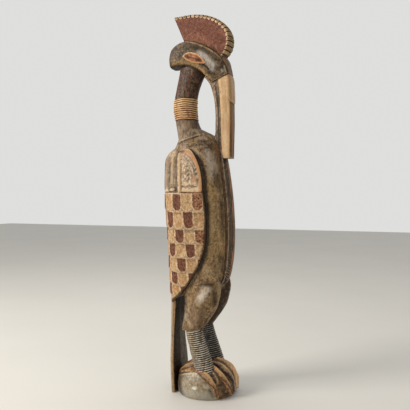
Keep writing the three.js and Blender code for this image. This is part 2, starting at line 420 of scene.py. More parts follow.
def notchShape(bench, start):
    run, out = bench.field("rimRun"), bench.field("rimOut")
    cell = notchCell(bench, run)
    edge = bench.calc("MULTIPLY", cell, -notchSizes["zigzag"])
    step = bench.span(bench.calc("SUBTRACT", out, edge), -1.2, 1.2)
    lift = bench.calc("MULTIPLY", bench.calc("SUBTRACT", step, 1.0), start["Face Depth"])
    notch = bench.both(bench.span(cell, start["Notch Width"], 0.0), step)
    return bench.calc("SUBTRACT", lift, bench.calc("MULTIPLY", notch, start["Notch Depth"])), 0.0


def toolShape(bench, start):
    # the gouge's uneven finish, felt more than seen
    place = bench.put("GeometryNodeInputPosition").outputs[0]
    broad = bench.noise(bench.scaled(place, (1.0, 1.0, 0.5)), start["Broad Scale"], 2.0)
    fine = bench.noise(place, start["Fine Scale"], 2.0)
    lift = bench.calc("MULTIPLY", bench.calc("SUBTRACT", broad, 0.5), start["Broad Depth"])
    return bench.calc("ADD", lift, bench.calc("MULTIPLY", bench.calc("SUBTRACT", fine, 0.5), start["Fine Depth"])), 0.0


ringLabels = ("Ring Pitch", "Ring Depth", "Band Start", "Band End", "Unevenness", "Seed")
ringTree = reliefTree("carvedRings", ringLabels, ringShape)
featherTree = reliefTree("carvedFeathers", ("Border Width", "Border Lift", "Groove Depth", "Tip Lift"), featherShape)
notchTree = reliefTree("carvedNotches", ("Face Depth", "Notch Width", "Notch Depth"), notchShape)
toolTree = reliefTree("toolMarks", ("Broad Scale", "Broad Depth", "Fine Scale", "Fine Depth"), toolShape)


def studTree():
    # small studs set on points, each given its height along X and its width along Y and Z
    tree = bpy.data.node_groups.new("chestStuds", "GeometryNodeTree")
    tree.interface.new_socket("Geometry", in_out="INPUT", socket_type="NodeSocketGeometry")
    tree.interface.new_socket("Geometry", in_out="OUTPUT", socket_type="NodeSocketGeometry")
    for label in ("Stud Radius", "Stud Height"):
        tree.interface.new_socket(label, in_out="INPUT", socket_type="NodeSocketFloat")
    tree.interface.new_socket("Seed", in_out="INPUT", socket_type="NodeSocketInt")
    tree.interface.new_socket("Paint", in_out="INPUT", socket_type="NodeSocketMaterial")
    bench = Bench(tree)
    start = bench.put("NodeGroupInput").outputs
    ball = bench.put("GeometryNodeMeshIcoSphere", {"Radius": mm, "Subdivisions": 1}).outputs["Mesh"]
    luck = bench.put("FunctionNodeRandomValue", {"Seed": start["Seed"]}, data_type="FLOAT")
    luck.inputs[2].default_value, luck.inputs[3].default_value = 0.8, 1.15
    wide = bench.calc("MULTIPLY", start["Stud Radius"], luck.outputs[1])
    size = bench.put("ShaderNodeCombineXYZ", {"X": start["Stud Height"], "Y": wide, "Z": wide}).outputs[0]
    points = bench.put("GeometryNodeInstanceOnPoints", {"Points": start["Geometry"], "Instance": ball, "Scale": size})
    real = bench.put("GeometryNodeRealizeInstances", {"Geometry": points.outputs[0]})
    coat = bench.put("GeometryNodeSetMaterial", {"Geometry": real.outputs[0], "Material": start["Paint"]})
    bench.wire(coat.outputs[0], bench.put("NodeGroupOutput").inputs[0])
    return tree


def carvedBy(thing, tree, values):
    step = thing.modifiers.new(tree.name, "NODES")
    step.node_group = tree
    for item in tree.interface.items_tree:
        if item.item_type == "SOCKET" and item.in_out == "INPUT" and item.name in values:
            step[item.identifier] = values[item.name]
    return evaluated(thing)


# Materials: worn paint and stain on wood, with painted highlights and painted shade in places, one function
# for the common ground and one short function for what each finish adds.
woodLook = {
    "shadow": (48, 38, 26), "ground": (96, 80, 52), "light": (140, 118, 78),
    "bare": (176, 148, 104), "grime": (26, 20, 14),
    "blotch": 30.0, "speck": 165.0, "rise": 0.5, "grain": 0.35, "speckle": 0.8, "wear": 0.5, "dirt": 0.8,
    "rough": 0.5, "bump": 0.6, "sheen": 0.22,
}


def woodMaterial(name, extra=None, **changes):
    look = {**woodLook, **changes}
    material = bpy.data.materials.new(name)
    material.use_nodes = True
    bench = Bench(material.node_tree)
    coat = material.node_tree.nodes["Principled BSDF"]
    coat.inputs["Specular IOR Level"].default_value = look["sheen"]
    place = bench.put("ShaderNodeTexCoord").outputs["Object"]
    tall = bench.scaled(place, (1.0, 1.0, look["rise"]))
    blotch = bench.noise(tall, look["blotch"], 6.0, 0.62, 0.4)
    patch = bench.noise(tall, look["blotch"] * 2.7, 5.0, 0.6, 0.6)
    speck = bench.noise(place, look["speck"], 2.5, 0.6)
    fibre = bench.noise(bench.scaled(place, (1.0, 1.0, 0.05)), 420.0, 3.0, 0.6, 0.3)
    shadow, ground, light = (paint(*look[part]) for part in ("shadow", "ground", "light"))
    colour = bench.mixed(bench.span(blotch, 0.3, 0.62), shadow, ground)
    colour = bench.mixed(bench.span(patch, 0.42, 0.7, 0.0, 0.8), colour, light)
    colour = bench.mixed(bench.span(speck, 0.49, 0.38, 0.0, look["speckle"]), colour, shadow)
    colour = bench.mixed(bench.span(speck, 0.52, 0.63, 0.0, look["speckle"]), colour, light)
    colour = bench.mixed(bench.span(fibre, 0.35, 0.65, 0.0, look["grain"]), colour, shadow)
    streak = bench.noise(bench.scaled(place, (1.0, 1.0, 0.4)), 110.0, 4.0, 0.7, 0.6)
    noises = {"blotch": blotch, "patch": patch, "speck": speck, "fibre": fibre, "streak": streak}
    if extra:
        colour = extra(bench, colour, place, noises)
    ragged = bench.calc("ADD", bench.field("wear"), bench.span(speck, 0.3, 0.7, -0.35, 0.35))
    ragged = bench.calc("SUBTRACT", ragged, bench.calc("MULTIPLY", bench.field("ink"), 0.7))
    colour = bench.mixed(bench.span(ragged, 0.45, 0.8, 0.0, look["wear"]), colour, paint(*look["bare"]))
    deep = bench.calc("ADD", bench.field("dirt"), bench.span(patch, 0.3, 0.7, -0.2, 0.2))
    colour = bench.mixed(bench.span(deep, 0.25, 0.85, 0.0, look["dirt"]), colour, paint(*look["grime"]))
    bench.wire(colour, coat.inputs["Base Color"])
    rough = bench.calc("ADD", bench.span(patch, 0.35, 0.65, -0.1, 0.12), look["rough"])
    rough = bench.calc("ADD", rough, bench.span(speck, 0.4, 0.65, 0.08, -0.06))
    bench.wire(rough, coat.inputs["Roughness"])
    height = bench.calc("ADD", bench.calc("MULTIPLY", fibre, 0.5), bench.calc("MULTIPLY", speck, 0.6))
    height = bench.calc("ADD", height, bench.calc("MULTIPLY", patch, 0.8))
    bump = bench.put("ShaderNodeBump", {"Height": height, "Strength": look["bump"], "Distance": 0.0012})
    bench.wire(bump.outputs[0], coat.inputs["Normal"])
    return material


def lined(bench, colour, noises, pale, ink, warm=None, grey=None):
    # the strokes' paint, rubbed thin and patchy: the carved lines' own paint, and in places painted highlights and
    # painted shade
    patchy = bench.calc("ADD", bench.span(noises["speck"], 0.35, 0.65, 0.55, 1.15),
                        bench.span(noises["patch"], 0.35, 0.65, -0.15, 0.35))
    streaky = bench.span(noises["streak"], 0.38, 0.64, 0.4, 1.15)
    for name, shade, soft in (("warm", warm, 0.75), ("grey", grey, 1.0), ("pale", pale, 0.7), ("ink", ink, 0.75)):
        if shade:
            mask = bench.calc("MULTIPLY", bench.field(name), streaky if name == "grey" else patchy)
            colour = bench.mixed(bench.span(mask, 0.1, soft, 0.0, 0.92), colour, paint(*shade))
    return colour


def bodyExtra(bench, colour, place, noises):
    # olive and gold specks below, a greyer brown over the shoulders
    height = bench.put("ShaderNodeSeparateXYZ", {"Vector": place}).outputs["Z"]
    grey = bench.noise(bench.scaled(place, (1.0, 1.0, 0.5)), 34.0, 6.0, 0.72, 0.6)
    much = bench.span(height, 0.55, 0.7, 0.5, 0.95)
    colour = bench.mixed(bench.both(bench.span(grey, 0.47, 0.6), much), colour, paint(156, 134, 114))
    where = bench.span(bench.noise(bench.scaled(place, (1.0, 1.0, 0.5)), 11.0, 4.0), 0.42, 0.56, 0.3, 1.0)
    where = bench.both(where, bench.span(height, 0.74, 0.6, 0.3, 1.0))
    gold = bench.noise(bench.scaled(place, (1.0, 1.0, 0.7)), 170.0, 5.0, 0.8, 0.4)
    colour = bench.mixed(bench.both(bench.span(gold, 0.46, 0.56, 0.0, 0.85), where), colour, paint(190, 154, 104))
    # fine dark specks everywhere, gathered into soft clouds
    cloud = bench.span(bench.noise(bench.scaled(place, (1.0, 1.0, 0.4)), 26.0, 4.0, 0.6, 0.8), 0.4, 0.6, 0.3, 0.95)
    dark = bench.noise(bench.scaled(place, (1.0, 1.0, 0.7)), 150.0, 6.0, 0.8, 0.3)
    colour = bench.mixed(bench.both(bench.span(dark, 0.46, 0.56), cloud), colour, paint(58, 42, 28))
    # golden over the belly, browner over the thighs
    belly = bench.both(bench.span(height, 0.36, 0.44), bench.span(height, 0.68, 0.58), 0.12)
    colour = bench.mixed(belly, colour, paint(222, 182, 122))
    colour = bench.mixed(bench.span(height, 0.36, 0.3, 0.0, 0.16), colour, paint(50, 32, 18))
    throat = bench.mixed(bench.span(grey, 0.44, 0.58), paint(76, 60, 44), paint(150, 130, 104))
    colour = bench.mixed(bench.span(bench.field("shade"), 0.2, 0.8, 0.0, 0.9), colour, throat)
    return lined(bench, colour, noises, (186, 160, 124), (44, 30, 18), (122, 82, 54), (204, 190, 174))


def chestExtra(bench, colour, place, noises):
    red = bench.noise(bench.scaled(place, (1.0, 1.0, 0.4)), 90.0, 5.0, 0.7, 0.5)
    band = bench.mixed(bench.span(red, 0.42, 0.58), paint(74, 46, 28), paint(170, 116, 76))
    colour = bench.mixed(bench.span(bench.field("warm"), 0.2, 0.8), colour, band)
    return lined(bench, colour, noises, (206, 192, 170), (34, 24, 16))


def neckExtra(bench, colour, place, noises):
    scratch = bench.noise(bench.scaled(place, (1.0, 1.0, 0.3)), 130.0, 5.0, 0.75, 0.8)
    colour = bench.mixed(bench.span(scratch, 0.54, 0.62, 0.0, 0.7), colour, paint(142, 108, 84))
    red = bench.noise(place, 36.0, 4.0, 0.6, 0.4)
    colour = bench.mixed(bench.span(red, 0.5, 0.62, 0.0, 0.6), colour, paint(96, 58, 40))
    low = bench.mixed(bench.span(noises["streak"], 0.38, 0.62), paint(84, 66, 50), paint(148, 126, 102))
    colour = bench.mixed(bench.span(bench.field("shade"), 0.1, 0.9), colour, low)
    return lined(bench, colour, noises, (186, 160, 124), (30, 20, 14), (112, 72, 50), (164, 146, 122))


def headExtra(bench, colour, place, noises):
    moss = bench.noise(place, 60.0, 6.0, 0.7, 0.5)
    colour = bench.mixed(bench.span(moss, 0.5, 0.6, 0.0, 0.7), colour, paint(128, 104, 70))
    dark = bench.noise(place, 75.0, 5.0, 0.75, 0.4)
    colour = bench.mixed(bench.span(dark, 0.51, 0.6, 0.0, 0.85), colour, paint(56, 42, 28))
    colour = lined(bench, colour, noises, (176, 140, 104), (40, 28, 18), (150, 118, 76), (178, 168, 158))
    red = bench.span(bench.field("shade"), 0.2, 0.7, 0.0, 0.8)
    colour = bench.mixed(bench.both(red, bench.span(dark, 0.62, 0.5)), colour, paint(132, 98, 74))
    eye = bench.field("eye")
    height = bench.put("ShaderNodeSeparateXYZ", {"Vector": place}).outputs["Z"]
    rim = bench.mixed(bench.span(height, 1.0, 1.02), paint(190, 142, 92), paint(226, 194, 152))
    rim = bench.mixed(bench.span(noises["speck"], 0.45, 0.6, 0.0, 0.5), rim, paint(150, 108, 72))
    colour = bench.mixed(bench.span(eye, -0.6, 0.2), colour, rim)
    ball = bench.mixed(bench.span(noises["streak"], 0.4, 0.6), paint(166, 92, 54), paint(212, 150, 108))
    ball = bench.mixed(bench.span(bench.field("shade"), 0.2, 0.8, 0.0, 0.9), ball, paint(88, 42, 20))
    return bench.mixed(bench.span(eye, 1.9, 3.2), colour, ball)


def crestExtra(bench, colour, place, noises):
    run, out = bench.field("rimRun"), bench.field("rimOut")
    cell = notchCell(bench, run)
    fromEdge = bench.calc("SUBTRACT", out, bench.calc("MULTIPLY", cell, -notchSizes["zigzag"]))
    # darker in the middle of the face, rubbed lighter near its root and rim
    colour = bench.mixed(bench.both(bench.span(out, -6.0, -24.0), bench.span(out, -62.0, -44.0, 0.0, 0.55)), colour,
                         paint(98, 54, 42))
    tan = bench.noise(place, 120.0, 5.0, 0.8, 0.3)
    low = bench.span(out, -30.0, -66.0, 0.35, 0.85)
    colour = bench.mixed(bench.both(bench.span(tan, 0.5, 0.66), low), colour, paint(168, 122, 92))
    number = bench.calc("FLOOR", bench.calc("DIVIDE", run, notchSizes["pitch"]))
    rimPaint = bench.mixed(bench.span(noises["patch"], 0.35, 0.65), paint(120, 90, 58), paint(202, 168, 122))
    rimPaint = bench.mixed(bench.calc("MULTIPLY", bench.random(number), 0.5), rimPaint, paint(84, 60, 36))
    rimPaint = bench.mixed(bench.span(cell, 0.42, 0.12), rimPaint, paint(44, 30, 18))
    colour = bench.mixed(bench.span(fromEdge, -0.6, 0.2), colour, rimPaint)
    # the cream band is thin at the rear and wide in front
    past = bench.calc("SUBTRACT", fromEdge, bench.span(run, 20.0, 150.0, 2.2, 5.4))
    cream = bench.both(bench.span(fromEdge, -0.8, 0.2), bench.span(past, 0.0, -1.8), bench.span(cell, 0.1, 0.26))
    cream = bench.both(cream, bench.span(noises["speck"], 0.38, 0.5, 0.25, 0.9))
    colour = bench.mixed(cream, colour, paint(228, 196, 168))
    notch = bench.both(bench.span(cell, 0.2, 0.08), bench.span(fromEdge, -0.4, 0.6))
    colour = bench.mixed(notch, colour, paint(40, 26, 16))
    return lined(bench, colour, noises, (190, 148, 108), (44, 28, 20), (150, 92, 62))


def beakExtra(bench, colour, place, noises):
    streak = bench.noise(bench.scaled(place, (1.0, 1.0, 0.1)), 62.0, 4.0, 0.6, 0.3)
    colour = bench.mixed(bench.span(streak, 0.5, 0.62, 0.0, 0.6), colour, paint(160, 118, 74))
    pink = bench.noise(bench.scaled(place, (1.0, 1.0, 0.25)), 34.0, 4.0, 0.6, 0.5)
    colour = bench.mixed(bench.span(pink, 0.52, 0.62, 0.0, 0.5), colour, paint(178, 126, 92))
    front = bench.mixed(bench.span(streak, 0.42, 0.6), paint(92, 56, 18), paint(134, 90, 40))
    colour = bench.mixed(bench.span(bench.field("warm"), 0.1, 0.8), colour, front)
    return lined(bench, colour, noises, (224, 196, 152), (56, 34, 18), None, (206, 186, 152))


def wingExtra(bench, colour, place, noises):
    s, t = bench.field("featherS"), bench.field("featherT")
    onRows = bench.span(t, 0.0, 0.03)
    stain = bench.noise(place, 60.0, 5.0, 0.7, 0.6)
    colour = bench.mixed(bench.span(stain, 0.5, 0.62, 0.0, 0.5), colour, paint(138, 112, 80))
    column, row, aside, down = featherCell(bench, s, t)
    edge = featherEdge(bench, aside, down)
    mix = bench.calc("ADD", bench.calc("MULTIPLY", column, 7.3), bench.calc("MULTIPLY", row, 3.1))
    luck = bench.random(mix)
    uneven = bench.span(bench.noise(place, 90.0, 3.0), 0.3, 0.7, -1.3, 1.3)
    inset = bench.calc("ADD", bench.calc("ADD", 1.9, bench.calc("MULTIPLY", luck, 1.2)), uneven)
    top = bench.calc("MULTIPLY", down, 43.0)
    inPatch = bench.both(bench.span(bench.calc("SUBTRACT", edge, inset), -0.6, 0.6),
                         bench.span(bench.calc("SUBTRACT", top, inset), -1.5, 0.5))
    odd = bench.calc("FRACT", bench.calc("MULTIPLY", bench.calc("ADD", column, row), 0.5))
    maroon = bench.mixed(bench.span(noises["speck"], 0.38, 0.62), paint(62, 30, 18), paint(118, 70, 48))
    worn = bench.span(s, 158.0, 176.0, 0.1, 0.62)
    worn = bench.both(bench.span(bench.noise(place, 170.0, 4.0, 0.7), 0.44, 0.58), worn)
    maroon = bench.mixed(worn, maroon, paint(190, 140, 100))
    cream = bench.mixed(bench.span(noises["patch"], 0.38, 0.62), paint(152, 118, 78), paint(192, 160, 120))
    cream = bench.mixed(bench.span(noises["speck"], 0.5, 0.62, 0.0, 0.6), cream, paint(208, 182, 144))
    cream = bench.mixed(bench.both(luck, bench.span(noises["streak"], 0.42, 0.58)), cream, paint(164, 116, 68))
    cream = bench.mixed(bench.span(noises["speck"], 0.44, 0.36, 0.0, 0.55), cream, paint(122, 90, 60))
    patch = bench.mixed(bench.calc("GREATER_THAN", odd, 0.25), cream, maroon)
    border = bench.mixed(bench.span(noises["speck"], 0.38, 0.56), paint(170, 132, 98), paint(214, 186, 152))
    plumage = bench.mixed(inPatch, border, patch)
    line = bench.both(bench.span(edge, 0.9, 0.2, 0.0, 0.55), bench.span(down, 0.5, 0.75))
    plumage = bench.mixed(line, plumage, paint(120, 98, 72))
    colour = bench.mixed(onRows, colour, plumage)
    return lined(bench, colour, noises, (214, 186, 146), (54, 38, 26), (190, 128, 84), (142, 126, 112))


def ringExtra(pitch, groove, back, glint, low=None):
    def extra(bench, colour, place, noises):
        run = bench.field("ringT")
        if low:
            colour = bench.mixed(bench.span(run, 30.0, 6.0, 0.0, 0.8), colour, paint(*low))
        wave = ringWave(bench, run, pitch)
        # the grooves take their own dark paint and painted shade; on the side that faces the light both this shade and
        # the glints are painted fainter
        awayFromLight = bench.span(bench.field("shade"), 0.0, 1.0, 1.0, 0.2)
        colour = bench.mixed(bench.both(bench.span(wave, 0.92, 0.55), awayFromLight), colour, paint(*groove))
        # ring backs paler, as rubbed paint and as a painted glint
        rubbedAndGlinting = bench.both(bench.span(wave, 0.86, 1.0), bench.span(noises["patch"], 0.38, 0.55), glint, awayFromLight)
        colour = bench.mixed(rubbedAndGlinting, colour, paint(*back))
        return lined(bench, colour, noises, None, (30, 24, 18))
    return extra


def moundExtra(bench, colour, place, noises):
    cloud = bench.noise(place, 26.0, 6.0, 0.7, 0.6)
    colour = bench.mixed(bench.span(cloud, 0.48, 0.62, 0.0, 0.7), colour, paint(126, 104, 70))
    dark = bench.noise(place, 75.0, 5.0, 0.75, 0.5)
    colour = bench.mixed(bench.span(dark, 0.52, 0.64, 0.0, 0.7), colour, paint(104, 86, 60))
    height = bench.put("ShaderNodeSeparateXYZ", {"Vector": place}).outputs["Z"]
    colour = bench.mixed(bench.both(bench.span(height, 0.034, 0.02), 0.55), colour, paint(170, 166, 152))
    darks = bench.mixed(bench.span(dark, 0.45, 0.58), paint(50, 33, 16), paint(132, 98, 58))
    tops = bench.mixed(bench.span(cloud, 0.4, 0.6), paint(118, 80, 46), paint(182, 134, 88))
    tops = bench.mixed(bench.span(dark, 0.5, 0.6, 0.0, 0.85), tops, paint(64, 44, 28))
    colour = bench.mixed(bench.span(bench.field("warm"), 0.3, 0.6), colour, tops)
    colour = bench.mixed(bench.span(bench.field("shade"), 0.3, 0.6), colour, darks)
    return lined(bench, colour, noises, (206, 184, 150), (54, 38, 24), None, (226, 220, 206))


def toeExtra(bench, colour, place, noises):
    # painted light: toes marked warm, the far foot's front toes, are drawn lighter
    colour = bench.mixed(bench.span(bench.field("warm"), 0.0, 1.0, 0.0, 0.85), colour, paint(255, 204, 150))
    dark = bench.noise(place, 85.0, 5.0, 0.75, 0.5)
    colour = bench.mixed(bench.span(dark, 0.5, 0.62, 0.0, 0.85), colour, paint(72, 40, 22))
    return lined(bench, colour, noises, (240, 186, 126), (40, 24, 14))


def tailExtra(bench, colour, place, noises):
    streak = bench.noise(bench.scaled(place, (1.0, 1.0, 0.08)), 60.0, 4.0, 0.6, 0.2)
    colour = bench.mixed(bench.span(streak, 0.48, 0.66, 0.0, 0.6), colour, paint(76, 60, 38))
    return lined(bench, colour, noises, (178, 156, 132), (40, 28, 16), (150, 108, 80), (150, 140, 122))


finishes = {
    "body": woodMaterial("bodyStain", bodyExtra, ground=(128, 101, 68), light=(176, 144, 98), shadow=(64, 48, 32)),
    "chest": woodMaterial("chestStain", chestExtra, ground=(84, 60, 42), light=(120, 86, 58), shadow=(44, 30, 20),
                          wear=0.15),
    "stud": woodMaterial("studPaint", None, ground=(178, 150, 114), light=(222, 196, 158), shadow=(104, 80, 56)),
    "head": woodMaterial("headStain", headExtra, ground=(90, 74, 56), light=(124, 106, 84), shadow=(54, 42, 30)),
    "crest": woodMaterial("crestPaint", crestExtra, ground=(118, 72, 56), light=(146, 98, 76),
                          shadow=(88, 50, 38), blotch=26.0, rise=1.0, rough=0.66, bump=0.8),
    "beak": woodMaterial("beakWax", beakExtra, ground=(204, 170, 126), light=(220, 190, 148), shadow=(168, 130, 88),
                         rise=0.2, blotch=30.0, grain=0.3, speckle=0.3, rough=0.42, dirt=0.6, sheen=0.3),
    "underBeak": woodMaterial("underBeakStain", bodyExtra, ground=(92, 76, 58), shadow=(44, 34, 24),
                              light=(130, 112, 86)),
    "neck": woodMaterial("neckStain", neckExtra, ground=(70, 50, 38), light=(104, 78, 60), shadow=(36, 24, 17)),
    "neckRings": woodMaterial("neckRingPaint",
                              ringExtra(neckRingSizes["pitch"], (104, 62, 34), (240, 202, 150), 0.9, (160, 98, 70)),
                              ground=(206, 166, 114), light=(220, 184, 134), shadow=(160, 114, 72)),
    "wing": woodMaterial("wingPaint", wingExtra, ground=(208, 184, 154), light=(232, 210, 182),
                         shadow=(134, 108, 80), grime=(58, 42, 28), grain=0.2, dirt=0.7),
    # painted shade: the wing's edge faces down and away from the light and is given a dark brown
    "shadedWingEdge": woodMaterial("wingEdgePaint", None, ground=(62, 44, 30), light=(88, 64, 44), shadow=(32, 22, 14)),
    # a dark stain, darkened further as painted shade for the tail's inner face in the shadow between the tail and the
    # legs
    "tail": woodMaterial("tailStainAndShade", tailExtra, ground=(54, 36, 16), light=(80, 58, 30), shadow=(28, 18, 6),
                         sheen=0.12),
    "leg": woodMaterial("legRingPaint", ringExtra(ringSizes["pitch"], (14, 12, 10), (240, 238, 230), 1.0),
                        ground=(124, 118, 110), light=(160, 154, 144), shadow=(76, 68, 60)),
    "mound": woodMaterial("moundPaint", moundExtra, ground=(166, 154, 132), light=(192, 182, 160),
                          shadow=(124, 108, 82), blotch=18.0, rise=1.0, rough=0.38, sheen=0.4),
    "toe": woodMaterial("toePaint", toeExtra, ground=(192, 128, 78), light=(236, 180, 124), shadow=(108, 64, 36),
                        rough=0.42, sheen=0.35),
    "darkToe": woodMaterial("darkToePaint", toeExtra, ground=(98, 80, 72), light=(126, 106, 96), shadow=(56, 42, 36),
                            rough=0.42, sheen=0.35),
}
print("finishes mixed")


# Each piece of the carving: its sizes, its carved lines, its form.
moundSizes = {
    "reachX": 90, "reachY": 91,
    "profile": [(0.93, 0), (0.965, 4), (0.985, 12), (1, 26), (0.98, 44), (0.91, 60), (0.77, 75), (0.55, 87),
                (0.3, 93), (0.05, 95)],
    # (z, x) along the outer toe: the front is darker
    "outerToe": [(9, 58), (20, 55), (35, 50), (46, 45), (59, 35), (68, 24), (80, 8), (95, -4)],
    # (x, z) lower edge of the broad hind toe
    "heel": [(-90, 50), (-75, 57), (-53, 67), (-37, 71), (-24, 74), (0, 72), (24, 66)],
}


def moundForm():
    profile = railAt(moundSizes["profile"], shareGrid(56))
    turn = np.linspace(0, 2 * np.pi, 128, endpoint=False)
    rows = np.stack([np.outer(profile[:, 0], np.cos(turn)) * moundSizes["reachX"],
                     np.outer(profile[:, 0], np.sin(turn)) * moundSizes["reachY"],
                     np.repeat(profile[:, 1:], len(turn), 1)], 2)
    fields = newFields(rows)
    x, z = rows[..., 0], rows[..., 2]
    toe, heel = np.array(moundSizes["outerToe"]), np.array(moundSizes["heel"])
    front = np.clip((x - np.interp(z, toe[:, 0], toe[:, 1])) / 4, 0, 1)
    soft = np.interp(x, [-30, -18], [2.5, 16])
    above = np.clip((z - np.interp(x, heel[:, 0], heel[:, 1])) / soft + 0.5, 0, 1) * (1 - front)
    fields["shade"], fields["warm"] = front, above
    rows += rowNormals(rows) * (above * 1.8)[..., None]
    strokeOn(rows, fields, [(-76, 54), (-53, 65), (-37, 70), (-27, 73)], 2.0, -1.4, sides=0, ends=0.1, ink=0.75)
    strokeOn(rows, fields, [(-77, 49), (-54, 60), (-38, 66), (-20, 70), (0, 74)], 1.8, 0.6, sides=0, pale=0.8)
    strokeOn(rows, fields, [(34, 82), (44, 72), (55, 60), (59, 47)], 1.8, 1.4, sides=-1, ends=0.3, pale=0.5)
    strokeOn(rows, fields, [(28, 79), (38, 69), (49, 57), (53, 44)], 3.0, -1.4, sides=-1, ink=0.9)
    # painted highlight: a bright pale patch on the dome
    strokeOn(rows, fields, [(-5, 41), (-3, 29)], 8.0, grey=1.6, ends=0.4)
    strokeOn(rows, fields, [(-58, 62), (-40, 58), (-30, 50)], 7.0, ink=0.4)
    # painted shade: the mound's side next to the tail is drawn darker
    strokeOn(rows, fields, [(-62, 64), (-67, 44), (-62, 20)], 16.0, sides=-1, ends=0.1, ink=0.75)
    strokeOn(rows, fields, [(-76, 52), (-66, 30), (-56, 6)], 15.0, sides=-1, ends=0, ink=0.8)
    strokeOn(rows, fields, [(40, 32), (48, 14)], 6.0, ink=0.6, ends=0)
    return loftObject("mound", rows, fields, finishes["mound"])


toeSizes = {
    "halfHeight": [6, 8.5, 9, 8.5, 7, 4],
    "paths": [
        [(-26, 58, 72), (4, 64, 73), (26, 69, 65), (42, 72, 48), (51, 69, 31), (57, 67, 7)],
        [(24, 34, 88), (47, 42, 77), (63, 45, 63), (75, 42, 47), (82, 36, 30), (85, 27, 8)],
        [(24, 22, 92), (48, 20, 86), (67, 20, 73), (79, 16, 57), (86, 11, 38), (88, 8, 10)],
        [(-8, 40, 88), (-34, 42, 83), (-54, 40, 73), (-68, 34, 61), (-75, 28, 50), (-78, 22, 40)],
    ],
    "halfWidths": [[7, 12, 16, 14, 11, 6], [8, 10, 11, 10, 8, 5], [8, 11, 13, 11, 9, 6], [10, 12, 12, 10, 8, 5]],
}


def toeForm(number, side):
    path = np.array(toeSizes["paths"][number], float) * (1, side, 1)
    shares = np.linspace(0, 1, 44)
    middle = railAt(path, shares)
    tangent = np.gradient(middle, axis=0)
    tangent /= np.linalg.norm(tangent, axis=1, keepdims=True)
    across = np.cross((0, 0, 1), tangent)
    across /= np.linalg.norm(across, axis=1, keepdims=True)
    out = np.cross(tangent, across)
    turn = np.linspace(0, 2 * np.pi, 24, endpoint=False)
    knuckles = 1 + 0.06 * np.sin(shares * 3 * 2 * np.pi + number)
    wide, tall = (railAt(sizes, shares)[:, 0] * knuckles
                  for sizes in (toeSizes["halfWidths"][number], toeSizes["halfHeight"]))
    rows = (middle[:, None] + across[:, None] * np.outer(wide, pushed(np.cos(turn), 1.5))[..., None]
            + out[:, None] * np.outer(tall, pushed(np.sin(turn), 1.5))[..., None])
    fields = newFields(rows)
    high = pushed(np.sin(turn), 1.5)
    fields["pale"] = np.repeat(np.clip(high * 5 - 3.8, 0, 1)[None], len(shares), 0) * 0.9
    fields["ink"] = np.repeat(np.clip(0.45 - np.abs(high - 0.1), 0, 0.3)[None] / 0.4, len(shares), 0)
    # painted light: the far foot's front toes are marked to be drawn lighter; the hind toes take the mound's top
    # colour
    fields["warm"] += number == 3 or (side == 1 and number in (1, 2))
    finish = "mound" if number == 3 else "darkToe" if (number, side) == (2, -1) else "toe"
    return loftObject("toe", rows, fields, finishes[finish])


legSizes = {
    "spread": 44,
    "front": [(-2, 206), (7, 172), (21, 133), (36, 92), (44, 62)],
    "back": [(-53, 206), (-47, 172), (-37, 133), (-26, 92), (-19, 62)],
    "halfWidth": [25, 25, 25, 26, 27],
    "rings": {"Ring Pitch": ringSizes["pitch"], "Ring Depth": 2.0, "Band Start": 50.0, "Band End": 240.0,
              "Unevenness": 0.9, "Seed": 3.0},
}


def shadeBetweenLegs(rows, side):
    # painted shade: 1 where a leg or thigh faces the other one, less towards its front
    ways = rowNormals(rows)
    return np.clip(-ways[..., 1] * side * 1.6 + 0.3 * ways[..., 0] + 0.1, 0, 1)


def legForm(side):
    rows, runs = loftRows(legSizes, 52, np.linspace(0, 1, 134), side * legSizes["spread"])
    fields = newFields(rows)
    fields["ringT"] = rows[..., 2] - ringSizes["tilt"] * rows[..., 0]
    # painted shade on the side of the leg that faces the other leg
    fields["ink"] = shadeBetweenLegs(rows, side) * 0.6
    # painted light: 1 on the side that faces the key light, towards the tail, where the ring grooves and ring glints
    # are painted fainter
    fields["shade"] = np.clip(0.15 - rowNormals(rows)[..., 0] * 1.3, 0, 1)
    leg = loftObject("leg", rows, fields, finishes["leg"])
    return carvedBy(leg, ringTree, {**legSizes["rings"], "Paint": finishes["leg"]})


bodyMarks = {
    # shine, dark folds and the painted shadow beside the wing, that run over the belly and the thighs
    "shine": [[(24, 336), (20, 312), (7, 290), (-1, 268)], [(36, 330), (33, 308)], [(-40, 250), (-44, 220)]],
    "shineWidths": [12.0, 9.0, 9.0], "shineStrength": [1.25, 0.8, 0.5],
    "fold": [(4, 352), (20, 343), (42, 341), (62, 342)],
    # painted shadow along the wing's front edge
    "shadowBesideWing": [(-96, 260), (-66, 286), (-34, 317), (-4, 359), (15, 402), (26, 447), (30, 500), (28, 556),
                   (22, 612), (17, 660), (8, 690), (-9, 716), (-34, 735)],
    # (line, width, field, strength) of the larger dark and rubbed places
    "stains": [([(9, 738), (30, 690), (38, 630)], 12.0, "grey", 0.8),
               ([(-20, 761), (13, 751), (38, 729)], 7.0, "ink", 0.55),
               ([(38, 676), (48, 640), (53, 600)], 10.0, "ink", 0.55),
               ([(60, 610), (63, 530), (64, 450)], 7.0, "ink", 0.6),
               ([(38, 560), (36, 500), (30, 440)], 12.0, "pale", 0.34),
               ([(60, 430), (62, 396), (66, 352)], 10.0, "ink", 0.6),
               ([(6, 402), (24, 378), (36, 360)], 14.0, "pale", 0.4),
               ([(-7, 327), (14, 334), (40, 333), (64, 328)], 6.0, "ink", 0.7),
               ([(40, 336), (48, 310), (51, 284), (46, 258)], 10.0, "ink", 0.62),
               ([(-60, 304), (-53, 282), (-48, 258)], 8.0, "ink", 0.66),
               ([(20, 284), (10, 250), (0, 206)], 8.0, "ink", 0.44),
               ([(-39, 232), (-26, 212), (-13, 200)], 9.0, "pale", 0.42),
               ([(-22, 304), (-30, 268), (-32, 240)], 8.0, "pale", 0.34)],
}


